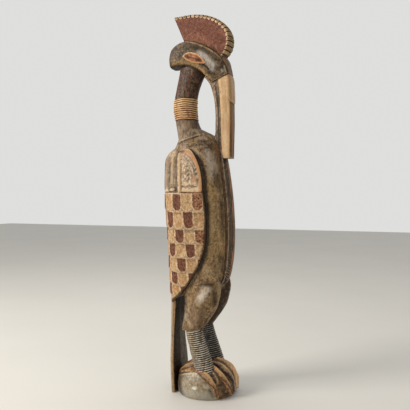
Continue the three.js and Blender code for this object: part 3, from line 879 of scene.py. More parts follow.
def markBody(rows, fields, deep=0.0):
    for line, width, strength in zip(bodyMarks["shine"], bodyMarks["shineWidths"], bodyMarks["shineStrength"]):
        strokeOn(rows, fields, line, width, 0.5, ends=0.35, grey=strength)
    for line, width, field, strength in bodyMarks["stains"]:
        strokeOn(rows, fields, line, width, 0, ends=0.3, **{field: strength})
    strokeOn(rows, fields, bodyMarks["fold"], 4.0, -1.0, ink=0.45)
    # painted shadow: a dark band on the body beside the wing's edge, in a shallow carved valley on the torso
    strokeOn(rows, fields, bodyMarks["shadowBesideWing"], 5.5, -deep, ends=0.05, sides=-1, ink=0.36)


thighSizes = {
    "front": [(2, 195), (8, 204), (23, 223), (36, 242), (48, 262), (58, 284), (64, 308), (64, 334), (44, 366)],
    "back": [(-62, 193), (-62, 203), (-58, 223), (-55, 240), (-53, 258), (-56, 281), (-60, 304), (-54, 332),
             (-34, 362)],
    "halfWidth": [25, 27.5, 30, 31.5, 32.5, 33, 32.5, 29, 20],
}


def thighForm(side):
    rows, runs = loftRows(thighSizes, 72, np.linspace(0, 1, 58), side * legSizes["spread"])
    fields = newFields(rows)
    markBody(rows, fields)
    # painted shade on the side of the thigh that faces the other thigh
    fields["ink"] = np.maximum(fields["ink"], shadeBetweenLegs(rows, side) * 0.75)
    return loftObject("thigh", rows, fields, finishes["body"])


torsoSizes = {
    "front": [(-20, 284), (32, 304), (63, 338), (77, 400), (80, 475), (78, 550), (71, 625), (60, 692), (54, 738),
              (30, 772), (-20, 798)],
    "back": [(-76, 284), (-98, 304), (-110, 340), (-116, 400), (-120, 475), (-125, 550), (-127, 625), (-122, 692),
             (-104, 734), (-91, 768), (-90, 798)],
    "halfWidth": [40, 58, 70, 75, 77, 78, 77, 72, 60, 44, 33],
    "widest": 0.55, "frontPower": 1.75, "backPower": 2.4,
}


def torsoForm():
    rows, runs = loftRows(torsoSizes, 112, np.linspace(0, 1, 132))
    fields = newFields(rows)
    markBody(rows, fields, 4.0)
    collar = np.interp(rows[..., 0], [-92, -47, -9, 30], [756, 767, 777, 792])
    fields["shade"] = np.clip((rows[..., 2] - collar) / 2, 0, 1)
    # painted shade: darker where the body turns to face the front, away from the light
    ahead = np.clip(rowNormals(rows)[..., 0] * 2.5 - 1.5, 0, 1)
    fields["ink"] = np.maximum(fields["ink"], ahead * 0.36)
    strokeOn(rows, fields, [(-92, 757), (-75, 760), (-47, 768), (-27, 773), (-9, 778), (6, 786)], 1.7, 1.4, pale=0.62)
    strokeOn(rows, fields, [(-92, 752), (-75, 755), (-47, 763), (-27, 768), (-9, 773)], 2.6, -1.4, ink=0.75)
    strokeOn(rows, fields, [(-20, 740), (4, 748), (26, 742)], 5.0, -1.0, ink=0.5)
    strokeOn(rows, fields, [(30, 752), (44, 728), (46, 700)], 6.0, 0, ends=0.3, warm=0.6)
    return loftObject("torso", rows, fields, finishes["body"])


keelSizes = {
    "front": [(56, 326), (69, 344), (80, 394), (85, 470), (83, 550), (76, 620), (66, 690), (58, 730)],
    "back": [(30, 330), (40, 350), (50, 392), (55, 470), (53, 550), (46, 620), (36, 690), (30, 730)],
    "halfWidth": [22, 26, 29, 30, 30, 29, 26, 22],
    "power": 3.2,
    "edgeLine": 0.93, "redHalf": 0.24,  # shares of the half width
    "studs": {"columns": (0.44, 0.72), "low": 346, "high": 694, "pitch": 8.2, "Stud Radius": 2.3,
              "Stud Height": 1.8, "Seed": 7},
}


def keelForm():
    rows, runs = loftRows(keelSizes, 72, np.linspace(0, 1, 120))
    fields = newFields(rows)
    shares = np.linspace(0, 1, len(rows))
    half = railAt(keelSizes["halfWidth"], shares)
    off = np.abs(rows[..., 1]) / half
    facing = np.clip(rowNormals(rows)[..., 0] * 3, 0, 1)
    fields["pale"] = np.exp(-((off - keelSizes["edgeLine"]) / 0.03) ** 2) * facing * 0.5
    fields["warm"] = np.clip((keelSizes["redHalf"] - off) / 0.06 + 0.5, 0, 1) * facing
    fields["ink"] = np.clip((off - keelSizes["redHalf"]) / 0.06, 0, 1) * np.clip((0.86 - off) / 0.04, 0, 1) * facing
    rows += rowNormals(rows) * (fields["pale"] * 1.2 - fields["ink"] * 1.4)[..., None]
    return loftObject("keel", rows, fields, finishes["chest"])


def chestStuds(carving):
    # two columns of studs each side of the chest strip's red middle
    look = keelSizes["studs"]
    surface = BVHTree.FromObject(carving, bpy.context.evaluated_depsgraph_get())
    spots = []
    for k, z in enumerate(np.arange(look["low"], look["high"], look["pitch"] / 2)):
        share = look["columns"][k % 2]
        height = np.interp(z, [z for x, z in keelSizes["front"]], np.linspace(0, 1, len(keelSizes["front"])))
        half = railAt(keelSizes["halfWidth"], height)[0, 0]
        for side in (1, -1):
            hit = surface.ray_cast(Vector((0.3, side * share * half * mm, z * mm)), Vector((-1, 0, 0)))[0]
            if hit:
                spots.append(hit[:])
    mesh = bpy.data.meshes.new("studs")
    mesh.from_pydata(spots, [], [])
    mesh.materials.append(finishes["stud"])
    studs = bpy.data.objects.new("studs", mesh)
    bpy.context.scene.collection.objects.link(studs)
    carvedBy(studs, studTree(), {**look, "Paint": finishes["stud"]})
    for field in fieldNames:
        setField(studs.data, field, np.zeros(len(studs.data.vertices)))
    setField(studs.data, "kept", np.ones(len(studs.data.vertices)))
    return studs


wingSizes = {
    "front": [(40, 236), (52, 300), (64, 360), (70, 430), (70, 510), (68, 590), (58, 660), (46, 715), (20, 744)],
    "back": [(-108, 236), (-114, 300), (-117, 360), (-120, 430), (-126, 510), (-133, 590), (-134, 660), (-129, 712),
             (-98, 744)],
    "halfWidth": [56, 70, 78, 82, 83, 84, 81, 72, 50],
    "widest": 0.5, "frontPower": 2.6, "backPower": 2.3,
    "gap": 2.5, "top": 738,
    "lobe": {"x": -50, "z": 610, "reachX": 64, "reachZ": 126},
    "edge": [(-107, 258), (-100, 272), (-66, 296), (-36, 327), (-7, 370), (11, 408), (22, 450), (25, 500),
             (23, 556), (17, 604)],
    "feathers": {"Border Width": 4.0, "Border Lift": 1.3, "Groove Depth": 1.0, "Tip Lift": 2.0},
}


def lobeArch(inset, samples=9):
    lobe = wingSizes["lobe"]
    turn = np.linspace(math.pi / 2, 0, samples)
    across = lobe["x"] + (lobe["reachX"] - inset) * np.cos(turn)
    return list(zip(across.tolist(), (lobe["z"] + (lobe["reachZ"] - inset) * np.sin(turn)).tolist()))


def lobeCarving(rows, fields):
    # the two rounded shoulder panels of each wing: ribs, a valley, an ornament band and a flame mark
    upper = np.clip((rows[..., 2] - 598) / 3, 0, 1)
    outer = np.clip((rows[..., 0] + 74) / 3, 0, 1) * upper
    strokeOn(rows, fields, [(-48, 728), (-35, 722), (-21, 712), (-9, 697), (-1, 681), (4, 664), (8, 640), (10, 606)],
             6.0, 1.3, only=outer, ends=0, hard=4, warm=0.9)
    strokeOn(rows, fields, [(-44, 719), (-31, 710), (-19, 698), (-9, 680), (-3, 660), (2, 640), (4, 618)], 1.7, -1.2,
             only=outer, ends=0, ink=0.8)
    band = [(-46, 712), (-31, 699), (-19, 687), (-12, 672), (-7, 656), (-1, 631)]
    strokeOn(rows, fields, band, 3.6, -0.4, only=outer, ends=0.1, grey=0.8)
    for k, (x, z) in enumerate(railAt(band, np.linspace(0.06, 0.98, 15))):
        strokeOn(rows, fields, [(x - 1, z + 1), (x + 1, z - 1)], 1.5, -0.9, ends=0, only=outer, ink=0.7)
    strokeOn(rows, fields, [(-52, 706), (-38, 694), (-27, 680), (-19, 664), (-14, 640)], 1.3, -0.7, ink=0.5)
    strokeOn(rows, fields, [(-35, 680), (-31, 662), (-28, 645)], 4.6, 0.5, ends=0.2, grey=0.8)
    strokeOn(rows, fields, [(-37, 690), (-31, 672), (-24, 652), (-30, 638), (-38, 648), (-35, 668)], 1.4, -1.0, ink=0.75)
    strokeOn(rows, fields, [(-33, 662), (-31, 652)], 1.8, -0.8, ends=0, ink=0.9)
    strokeOn(rows, fields, [(-13, 655), (-10, 630)], 6.0, 0, ends=0.2, warm=0.6)
    for k, x in enumerate(np.arange(-47, 0, 5.5)):
        strokeOn(rows, fields, [(x, 620), (x + 3, 624 - 5 * (k % 2))], 1.5, -0.9, ends=0, ink=0.85)
    strokeOn(rows, fields, [(-50, 627), (-26, 629), (-4, 626)], 2.2, 0.5, pale=0.7)
    strokeOn(rows, fields, [(-50, 612), (-20, 611), (12, 611)], 2.6, 1.0, pale=0.8, warm=0.4)
    strokeOn(rows, fields, [(-56, 604), (-20, 602.5), (18, 602.5)], 2.2, -1.6, ends=0, ink=0.75, warm=1)
    strokeOn(rows, fields, [(-61, 735), (-58, 705), (-55, 665), (-53.5, 604)], 3.8, 2.0, ends=0, warm=0.55, pale=0.4)
    strokeOn(rows, fields, [(-54, 712), (-51, 665), (-49, 610)], 1.5, -1.0, ends=0, ink=0.6)
    # painted shade in the valley between the two lobes, which is also carved
    strokeOn(rows, fields, [(-74, 738), (-72, 705), (-70, 665), (-68.5, 606)], 5.5, -4.5, only=upper, ends=0, ink=0.42)
    strokeOn(rows, fields, [(-66, 727), (-52, 726)], 6.5, -0.6, ends=0, ink=0.7)
    strokeOn(rows, fields, [(-79, 716), (-78, 670), (-78, 622)], 1.4, -0.8, only=upper, ink=0.6)
    strokeOn(rows, fields, [(-94, 712), (-93, 670), (-94, 630)], 4.2, -1.2, only=upper, ink=0.62)
    strokeOn(rows, fields, [(-85, 716), (-84, 670), (-85, 628)], 2.6, 1.0, only=upper, pale=0.8)
    strokeOn(rows, fields, [(-109, 716), (-110, 670), (-109, 616)], 7.0, 0.4, only=upper, sides=-1, ink=0.42)
    strokeOn(rows, fields, [(-106, 712), (-106, 670), (-105, 628)], 2.4, 0.8, only=upper, grey=0.5)
    strokeOn(rows, fields, [(-120, 712), (-122, 670), (-122, 610)], 11.0, 0, only=upper, sides=-1, ink=0.6)
    strokeOn(rows, fields, [(-101, 716), (-102, 660), (-102, 612)], 5.0, -0.8, only=upper, sides=-1, ink=0.5)
    strokeOn(rows, fields, [(-88, 700), (-88, 650), (-90, 612)], 12.0, 0, only=upper, sides=-1, ink=0.38)
    strokeOn(rows, fields, [(-98, 716), (-99, 665), (-98, 612)], 15.0, 0, only=upper, sides=-1, ink=0.5)
    strokeOn(rows, fields, [(-124, 590), (-126, 480), (-124, 380)], 22.0, 0, sides=-1, ink=0.36)
    strokeOn(rows, fields, [(-113, 712), (-99, 730), (-80, 735)], 6.0, 0, only=upper, ink=0.5)
    strokeOn(rows, fields, [(-96, 696), (-90, 690)], 4.0, -0.5, ends=0, warm=0.9)
    strokeOn(rows, fields, [(-97, 652), (-95, 634)], 3.4, -0.8, ends=0, ink=0.7)
    strokeOn(rows, fields, [(-101, 609), (-84, 620), (-66, 614)], 1.8, -1.2, ink=0.9)
    strokeOn(rows, fields, [(-101, 609), (-84, 606), (-66, 613)], 1.8, -1.2, ink=0.9)
    strokeOn(rows, fields, [(-100, 624), (-86, 627), (-74, 624)], 1.3, -0.8, ink=0.7)
    strokeOn(rows, fields, [(-130, 605), (-110, 604.5), (-70, 604)], 1.6, -1.5, ends=0, ink=0.8)


def wingSkin():
    # more points along the feathers' borders than across their middles
    width = featherSizes["width"]
    cell = np.array([0, 1.4, 3.0, 5.2, 9, 14, 19.5, 24.5, 28.3, 30.5, 32.1])
    runsBack = np.concatenate([featherSizes["start"] + width * k + cell for k in range(6)])
    runsBack = np.concatenate([[0], runsBack[runsBack > 1], np.arange(200, 236, 9)])
    bottoms = featherSizes["bottoms"]
    heights = [np.linspace(744, 602, 60, endpoint=False)]
    share = np.array([0, 0.03, 0.08, 0.15, 0.25, 0.37, 0.5, 0.61, 0.7, 0.78, 0.85, 0.91, 0.96])
    heights += [high + (low - high) * share for high, low in zip(bottoms[:-1], bottoms[1:])]
    heights = np.concatenate(heights + [np.linspace(bottoms[-1], 236, 4)])[::-1]
    fine = np.linspace(0, 1, 2001)
    shares = np.interp(heights, railAt(wingSizes["back"], fine)[:, 1], fine)
    rows, runs = loftRows(wingSizes, 0, shares, backRuns=runsBack)
    fields = newFields(rows)
    fields["featherS"] = runs
    dip = featherSizes["dip"] * np.clip((runs - 36) / 45, 0, 1) * np.clip((602 - rows[..., 2]) / 40, 0, 1)
    rowStarts = [-780] + [-z for z in bottoms]
    fields["featherT"] = np.interp(-rows[..., 2] - dip, rowStarts, [-4.2] + list(range(len(bottoms))))
    lobeCarving(rows, fields)
    # a dark band just inside the wing's lower edge: dark rim paint, deepened as painted shade along the overhang
    inner = np.array(wingSizes["edge"], float) + (-1.0, 1.0)
    strokeOn(rows, fields, inner, 3.6, -0.4, ends=0, sides=-1, hard=4, ink=1.0)
    skin = loftObject("wingSkin", rows, fields, finishes["wing"])
    return carvedBy(skin, featherTree, {**wingSizes["feathers"], "Paint": finishes["wing"]})


def wingSlab(side):
    # the outline of a folded wing in side view, as a block that cuts it from the skin
    edge = railAt(wingSizes["edge"][1:], np.linspace(0, 1, 60)).tolist()
    far = -200
    outline = [(far, wingSizes["edge"][0][1]), wingSizes["edge"][0], *edge, *lobeArch(0, 30)[::-1]]
    outline += [(-60, 735), (-71, 725), (-82, 736), (-95, wingSizes["top"]), (far, wingSizes["top"])]
    outline = np.array(outline, float)
    low, high = sorted((side * wingSizes["gap"], side * 200))
    count = len(outline)
    spots = np.vstack([np.insert(outline, 1, y, axis=1) for y in (low, high)])
    k = np.arange(count)
    sides = np.stack([k, (k + 1) % count, (k + 1) % count + count, k + count], 1).tolist()
    faces = [k.tolist()[::-1], (k + count).tolist(), *sides]
    # its cut faces become the wing's edge, with the dark finish that paints its shade
    return formObject("wingSlab", spots, faces, {}, finishes["shadedWingEdge"])


def wingForm(skin, side):
    wing = skin.copy()
    wing.data = skin.data.copy()
    bpy.context.scene.collection.objects.link(wing)
    return joined(wing, [wingSlab(side)], "INTERSECT")


tailSizes = {
    "front": [(-83, 0), (-89, 90), (-92, 160), (-90, 250), (-84, 340)],
    "back": [(-94, 0), (-100, 90), (-103.5, 160), (-105, 250), (-104, 340)],
    "halfWidth": [58, 54, 43, 37, 35],
    "power": 12,
}


def tailForm():
    shares = np.linspace(0, 1, 64)
    rows, runs = loftRows(tailSizes, 84, shares)
    fields = newFields(rows)
    middle = (railAt(tailSizes["front"], shares)[:, :1] + railAt(tailSizes["back"], shares)[:, :1]) / 2
    beside = np.clip(np.abs(rowNormals(rows)[..., 1]) * 3 - 1.4, 0, 1)
    ahead = rows[..., 0] - middle
    # painted highlight on the rear half of the board's side edges, a warm front half and a dark line between
    fields["pale"] = beside * np.clip(0.5 - ahead, 0, 1)
    fields["warm"] = beside * np.clip(ahead, 0, 1)
    fields["ink"] = beside * np.exp(-((ahead - 0.3) / 0.5) ** 2) * 0.6
    # paler on the inside towards the floor
    inside = np.clip(rowNormals(rows)[..., 0] * 2, 0, 1) * np.clip((rows[..., 1] + 6) / 14, 0, 1)
    fields["grey"] = inside * np.clip((250 - rows[..., 2]) / 90, 0, 1)
    return loftObject("tail", rows, fields, finishes["tail"])


neckSizes = {
    "front": [(20, 762), (-16, 792), (-31, 822), (-36, 860), (-34.5, 892), (-26, 925), (-10, 960), (14, 1000)],
    "back": [(-92, 762), (-97, 794), (-103, 824), (-108.5, 860), (-107, 892), (-100, 925), (-93, 960), (-86, 1000)],
    "halfWidth": [44, 37, 34, 33.5, 33.5, 32, 30, 27],
    "band": (2.1, 4.0),  # counted in rail points
    "rings": {"Ring Pitch": neckRingSizes["pitch"], "Ring Depth": 2.0, "Band Start": 0.0, "Band End": 66.0,
              "Unevenness": 1.2, "Seed": 11.0},
}


def neckForm():
    last = len(neckSizes["front"]) - 1
    low, high = (stop / last for stop in neckSizes["band"])
    rows, runs = loftRows(neckSizes, 80, shareGrid(122, (low, high, 4)))
    shares = shareGrid(122, (low, high, 4))
    fields = newFields(rows)
    middle = rows.mean(1)
    gone = np.concatenate([[0], np.cumsum(np.linalg.norm(np.diff(middle, axis=0), axis=1))])
    start, end = np.interp((low, high), shares, gone)
    fields["ringT"] = np.repeat(((gone - start) * 66 / (end - start))[:, None], rows.shape[1], 1)
    # the rings sway a little, as rings cut by hand do
    around = np.arctan2(rows[..., 1], rows[..., 0] - middle[:, None, 0])
    fields["ringT"] += 0.8 * np.sin(around * 2 + 0.6) + 0.5 * np.sin(around * 5 + fields["ringT"] * 0.1)
    proud = np.clip(np.minimum(fields["ringT"] / 2, (66 - fields["ringT"]) / 2), 0, 1)
    rows += rowNormals(rows) * (proud * 2.0)[..., None]
    fields["shade"] = np.clip(-fields["ringT"] / 6, 0, 1) * 0.8
    # painted highlight: a pale sheen on the lower neck
    strokeOn(rows, fields, [(-84, 812), (-80, 786), (-70, 766)], 12.0, 0, ends=0.3, grey=0.9)
    # painted shadow: dark on the neck just under the overhanging head
    strokeOn(rows, fields, [(-30, 968), (-12, 962), (-2, 948)], 16.0, 0, ends=0.2, sides=-1, ink=0.5)
    strokeOn(rows, fields, [(-100, 822), (-95, 790), (-88, 765)], 9.0, 0, ends=0.2, sides=-1, ink=0.5)
    strokeOn(rows, fields, [(-40, 824), (-26, 800), (-10, 785)], 9.0, 0, ends=0.2, sides=-1, ink=0.4)
    neck = loftObject("neck", rows, fields, finishes["neck"])
    return carvedBy(neck, ringTree, {**neckSizes["rings"], "Paint": finishes["neckRings"]})


headSizes = {
    "front": [(-117, 1041), (-107, 1056.5), (-83, 1069), (-44, 1070), (-2, 1056), (40, 1032), (67, 1004), (74, 978),
              (78, 957)],
    "back": [(-116, 991), (-112, 989), (-88, 989.5), (-46, 985), (-12, 968), (4, 954), (12, 944), (17, 938),
             (20, 934)],
    "halfWidth": [25, 31, 37, 39, 38, 35, 31.5, 28, 26],
    "widest": 0.42, "frontPower": [2.4, 2.4, 2.4, 2.4, 2.4, 2.6, 3.2, 5, 7],
    "backPower": [3.6, 3.6, 3.8, 4.2, 4.8, 5, 5, 5, 5],
    "eye": [(-66, 1017.5), (-57, 1024.5), (-46, 1027), (-36, 1026), (-25, 1023), (-15, 1018), (-8, 1012), (-1, 1005),
            (4, 998), (9, 991.5), (-2, 990.5), (-20, 993), (-31, 996), (-41, 999.5), (-50, 1004), (-57, 1009)],
    "stripEdge": [(956, 76), (972, 72), (989, 65), (1005, 56), (1016, 46)],  # (z, x): ahead of it is the red front strip
}


def domed(rows, fields, way, shares=(0.12, 0.32, 0.52, 0.7, 0.85, 0.95)):
    # rings over the first end, so that it curves and wears like the rest
    centre = rows[0].mean(0)
    rings = [centre + (rows[0] - centre) * s + np.array(way) * np.sqrt(1 - s * s) for s in shares]
    values = {name: np.concatenate([np.repeat(f[:1], len(shares), 0), f]) for name, f in fields.items()}
    return np.concatenate([rings, rows]), values


def headForm():
    rows, runs = loftRows(headSizes, 108, np.linspace(0, 1, 106))
    fields = newFields(rows)
    strokeOn(rows, fields, [(-108, 1001), (-88, 1001), (-60, 999), (-40, 993), (-14, 981), (0, 970), (12, 957),
                            (22, 945)], 8.0, 0.6, ends=0.04, sides=0, warm=0.6)
    # painted shade: faces that point down, under the head, are drawn dark
    fields["ink"] = np.clip(-rowNormals(rows)[..., 2] * 2.5 - 1.4, 0, 1) * 0.85
    strokeOn(rows, fields, [(-116, 1044), (-117, 1020), (-114, 992)], 15.0, 0, ends=0, sides=-1, ink=0.34)
    # painted highlight: pale grey streaks over the plane below the eye that faces the light, running down to the beak
    strokeOn(rows, fields, [(-26, 1031), (-5, 1018), (14, 1000), (30, 984), (46, 970)], 11.0, 1.4, ends=0.25, grey=1.4)
    strokeOn(rows, fields, [(54, 972), (62, 960)], 5.0, 0, ends=0.3, grey=0.9)
    strokeOn(rows, fields, [(10, 986), (26, 973), (36, 960)], 8.0, 0, ends=0.3, grey=0.7)
    strokeOn(rows, fields, [(-12, 989), (0, 989), (12, 979), (20, 970)], 2.6, -1.8, ink=0.9)
    strokeOn(rows, fields, [(16, 972), (28, 962), (38, 956), (46, 956)], 2.2, -1.0, ink=0.6)
    strokeOn(rows, fields, [(42, 1006), (56, 988), (63, 968)], 4.0, -0.8, ends=0.2, ink=0.5)
    strokeOn(rows, fields, [(64, 982), (70, 958)], 2.4, 0.6, ends=0.2, grey=0.7)
    strokeOn(rows, fields, [(-62, 1056), (-36, 1046), (-8, 1034), (20, 1018), (40, 1002)], 6.0, -0.8, ends=0.3, ink=0.42)
    strokeOn(rows, fields, [(-72, 1068), (-39, 1059), (-10, 1047), (18, 1032), (38, 1017), (56, 1003)], 2.0, 1.4,
             sides=-1, pale=0.6)
    x, z = rows[..., 0], rows[..., 2]
    edge = np.array(headSizes["stripEdge"])
    fields["shade"] = np.clip((x - np.interp(z, edge[:, 0], edge[:, 1])) / 2, 0, 1)
    strokeOn(rows, fields, edge[:, ::-1], 1.8, -1.0, ends=0, ink=0.7)
    outline = railAt(headSizes["eye"] + headSizes["eye"][:1], np.linspace(0, 1, 120))
    gap, along = lineDistance(x, z, outline)
    depth = np.where(insideLine(x, z, outline[:-1]), gap, -gap)
    ways = rowNormals(rows)
    side = np.clip(np.abs(ways[..., 1]) * 3 - 0.6, 0, 1)
    rim = np.exp(-((depth - 1.6) / 2.2) ** 2) * 1.6
    hollow = np.clip((depth - 3.0) / 3.0, 0, 1) * -2.8
    rows += ways * (side * (rim + hollow))[..., None]
    fields["eye"] = np.where(side > 0.2, depth, -20)
    strokeOn(rows, fields, [(-57, 1017), (-36, 1011), (-15, 1003), (-2, 996.5)], 3.6, -0.8, ends=0.2, shade=0.75)
    # the neat lip where the head ends over the beak
    fromSeam = np.linspace(1, 0, len(rows))[:, None] * 130 + 0 * x
    fields["pale"] = np.maximum(fields["pale"], np.exp(-((fromSeam - 3.6) / 1.3) ** 2) * 0.7)
    fields["ink"] = np.maximum(fields["ink"], np.exp(-(fromSeam / 1.5) ** 2) * 0.9)
    rows, fields = domed(rows, fields, (-2.5, 0, 0))
    return loftObject("head", rows, fields, finishes["head"])


beakSizes = {
    "front": [(73, 960), (80, 948), (83, 905), (84, 860), (85, 800), (84, 750), (83, 706)],
    "back": [(29, 946), (37, 934), (43, 895), (46, 860), (48, 800), (48, 750), (47, 706)],
    "halfWidth": [22, 23, 22.5, 22.5, 22, 22, 21],
    "widest": 0.6, "frontPower": [6, 6, 5, 4.2, 3.4, 3.2, 3.2], "backPower": 4.0,
    "casque": [(66, 925), (71, 898), (75, 885), (80, 875), (86, 868)],  # (x, z) lower edge of the raised upper part
}


def beakForm():
    rows, runs = loftRows(beakSizes, 84, np.linspace(0, 1, 96))
    fields = newFields(rows)
    x, z = rows[..., 0], rows[..., 2]
    step = np.array(beakSizes["casque"])
    above = z - np.interp(x, step[:, 0], step[:, 1])
    ahead = np.clip((x - 64) / 10, 0, 1)
    ways = rowNormals(rows)
    proud = np.clip(above / 2.5, 0, 1) * ahead * np.clip((952 - z) / 14, 0, 1)
    rows += ways * (proud * 1.8)[..., None]
    front = np.clip(ways[..., 0] * 2.4 - 1.0, 0, 1)
    fields["warm"] = front * np.clip(-above / 3, 0, 1) * 0.92 + front * np.clip(above / 3, 0, 1) * 0.14
    # painted shadow: a dark line just under the raised casque's edge
    fields["ink"] = np.exp(-((above + 1.5) / 2.4) ** 2) * np.clip((x - 70) / 6, 0, 1) * 0.75
    fields["grey"] = front * np.exp(-((above - 4) / 4) ** 2) * 0.6
    # painted highlight: a soft pale streak down the middle of the beak's side
    strokeOn(rows, fields, [(67, 858), (67, 800), (67, 740), (66, 714)], 4.0, 0, ends=0.2, grey=0.6)
    strokeOn(rows, fields, [(41, 938), (46, 915), (50, 895)], 3.0, 0, ends=0.2, warm=0.5)
    return loftObject("beak", rows, fields, finishes["beak"])


underBeakSizes = {
    "front": [(56, 962), (60, 930), (66, 870), (68, 800), (68, 750), (60, 700)],
    "back": [(-6, 955), (14, 926), (28, 870), (30, 815), (27, 772), (13, 720)],
    "halfWidth": [22, 19.5, 19, 19, 20, 24],
    "power": 3,
}


def underBeakForm():
    rows, runs = loftRows(underBeakSizes, 60, np.linspace(0, 1, 72))
    fields = newFields(rows)
    strokeOn(rows, fields, [(33, 930), (41, 880), (45, 806), (46, 750), (47, 712)], 2.6, -0.8, ink=0.8)
    strokeOn(rows, fields, [(26, 905), (36, 868), (39, 815), (37, 775)], 3.2, 0.5, ends=0.2, grey=0.5)
    return loftObject("underBeak", rows, fields, finishes["underBeak"])


crestSizes = {
    "centre": (-61, 1059), "reach": (144, 93.5), "rear": 110, "ahead": -30, "rearLift": 4,
    "root": [(-72, 1064), (-30, 1050), (12, 1028), (44, 994)],
    "halfWidth": [9, 13, 17, 20, 23, 24, 24],
    "bulge": [6, 7.5, 8.5, 9.5, 10, 10.5, 11, 11, 11],
    "notches": {"Face Depth": 2.0, "Notch Width": 0.26, "Notch Depth": 3.2},
}


def crestForm():
    shares = np.linspace(0, 1, 156)
    angle = np.radians(crestSizes["rear"] + (crestSizes["ahead"] - crestSizes["rear"]) * shares)
    way = np.stack([np.cos(angle), np.sin(angle)], 1)
    root = railAt(crestSizes["root"], shares)
    rim = np.array(crestSizes["centre"]) + way * crestSizes["reach"]
    # the rim's front end turns down into the head
    tuck = np.clip((shares - 0.94) / 0.06, 0, 1)[:, None]
    rim += (root - rim) * tuck ** 2 * 0.9
    rim[:, 1] += np.clip((-80 - rim[:, 0]) / 30, 0, 1) * crestSizes["rearLift"]
    bulge = railAt(crestSizes["bulge"], shares)[:, 0] * (1 - 0.6 * tuck[:, 0])
    shoulder = rim - way * bulge[:, None]
    girth = railAt(crestSizes["halfWidth"], shares)[:, 0]
    rimRun = np.concatenate([[0], np.cumsum(np.linalg.norm(np.diff(rim, axis=0), axis=1))])
    turn = np.linspace(-np.pi / 2, np.pi / 2, 25)
    plate = np.array([1, 0.84, 0.68, 0.52, 0.38, 0.26, 0.17, 0.11, 0.08, 0.055, 0.035, 0.015])
    # one section: up the right face, over the rim, down the left face, across the root
    out = np.concatenate([-plate, pushed(np.cos(turn), 3.0), -plate[::-1]])
    side = np.concatenate([-np.ones(len(plate)), pushed(np.sin(turn), 3.0), np.ones(len(plate))])
    rows, outs = [], []
    for s, r, w, half, proud in zip(shoulder, root, way, girth, bulge):
        flat = np.where(out[:, None] > 0, s + w * proud * np.maximum(out, 0)[:, None],
                        s + (r - s) * np.maximum(-out, 0)[:, None])
        rows.append(np.stack([flat[:, 0], side * half, flat[:, 1]], 1))
        outs.append(np.where(out > 0, out * proud, out * np.linalg.norm(r - s)))
    rows = np.array(rows)
    fields = newFields(rows)
    fields["rimOut"] = np.array(outs)
    fields["rimRun"] = np.repeat(rimRun[:, None], rows.shape[1], 1)
    fields["warm"] = np.repeat(np.clip((-out - 0.55) / 0.3, 0, 1)[None] * 0.45, len(rows), 0)
    fields["ink"] = np.clip(1.2 - fields["rimRun"] / 2, 0, 0.8)
    crest = loftObject("crest", rows, fields, finishes["crest"])
    return carvedBy(crest, notchTree, {**crestSizes["notches"], "Paint": finishes["crest"]})


# Join the forms into one closed block.
toolMarks = {"Broad Scale": 38.0, "Broad Depth": 1.6, "Fine Scale": 110.0, "Fine Depth": 0.7}

carving = torsoForm()
skin = wingSkin()
wings = [wingForm(skin, side) for side in (1, -1)]
bpy.data.objects.remove(skin)
print("wings cut")
joined(carving, [keelForm(), *wings, neckForm(), headForm(), beakForm(), underBeakForm(), crestForm(), tailForm()])
print("upper body joined")
joined(carving, [form(side) for side in (1, -1) for form in (thighForm, legForm)])
joined(carving, [moundForm()] + [toeForm(k, side) for side in (1, -1) for k in range(len(toeSizes["paths"]))])
joined(carving, [chestStuds(carving)])
print("legs, mound and studs joined", len(carving.data.vertices))


def mendFields(mesh):
    # points made by the joins take their pattern values from the nearest carved point
    spots = spotsOf(mesh)
    kept = fieldOf(mesh, "kept") > 0.99
    fresh = np.flatnonzero(~kept)
    old = np.flatnonzero(kept)
    tree = KDTree(len(old))
    for place, k in enumerate(old):
        tree.insert(spots[k], place)
    tree.balance()
    nearest = np.array([old[tree.find(spots[k])[1]] for k in fresh])
    for name in fieldNames:
        values = fieldOf(mesh, name)
        if len(fresh):
            values[fresh] = values[nearest]
        setField(mesh, name, values)
    mesh.attributes.remove(mesh.attributes["kept"])


def edgesOf(mesh):
    ends = np.empty(len(mesh.edges) * 2, np.int32)
    mesh.edges.foreach_get("vertices", ends)
    return ends.reshape(-1, 2)


def spreadOut(values, edges, rounds, share=1.0):
    # average with the neighbours, a few times over
    count = np.maximum(np.bincount(edges.ravel(), minlength=len(values)), 1)
    for _ in range(rounds):
        total = np.bincount(edges[:, 0], values[edges[:, 1]], len(values))
        total += np.bincount(edges[:, 1], values[edges[:, 0]], len(values))
        values = values + 0.5 * share * (total / count - values)
    return values


def onlyOn(mesh, names):
    # 1 at points whose faces all have one of these materials
    wanted = [k for k, material in enumerate(mesh.materials) if material.name in names]
    only = np.ones(len(mesh.vertices))
    for face in mesh.polygons:
        if face.material_index not in wanted:
            only[list(face.vertices)] = 0
    return only


def easeThighs(mesh, low=262, high=378, rounds=40):
    # the thighs grow out of the belly without a seam
    spots, edges = spotsOf(mesh), edgesOf(mesh)
    z = spots[:, 2] / mm
    share = np.clip(np.minimum(z - low, high - z) / 20, 0, 1) * onlyOn(mesh, ["bodyStain"])
    eased = np.stack([spreadOut(spots[:, k], edges, rounds, share) for k in range(3)], 1)
    mesh.vertices.foreach_set("co", eased.ravel())
    mesh.update()


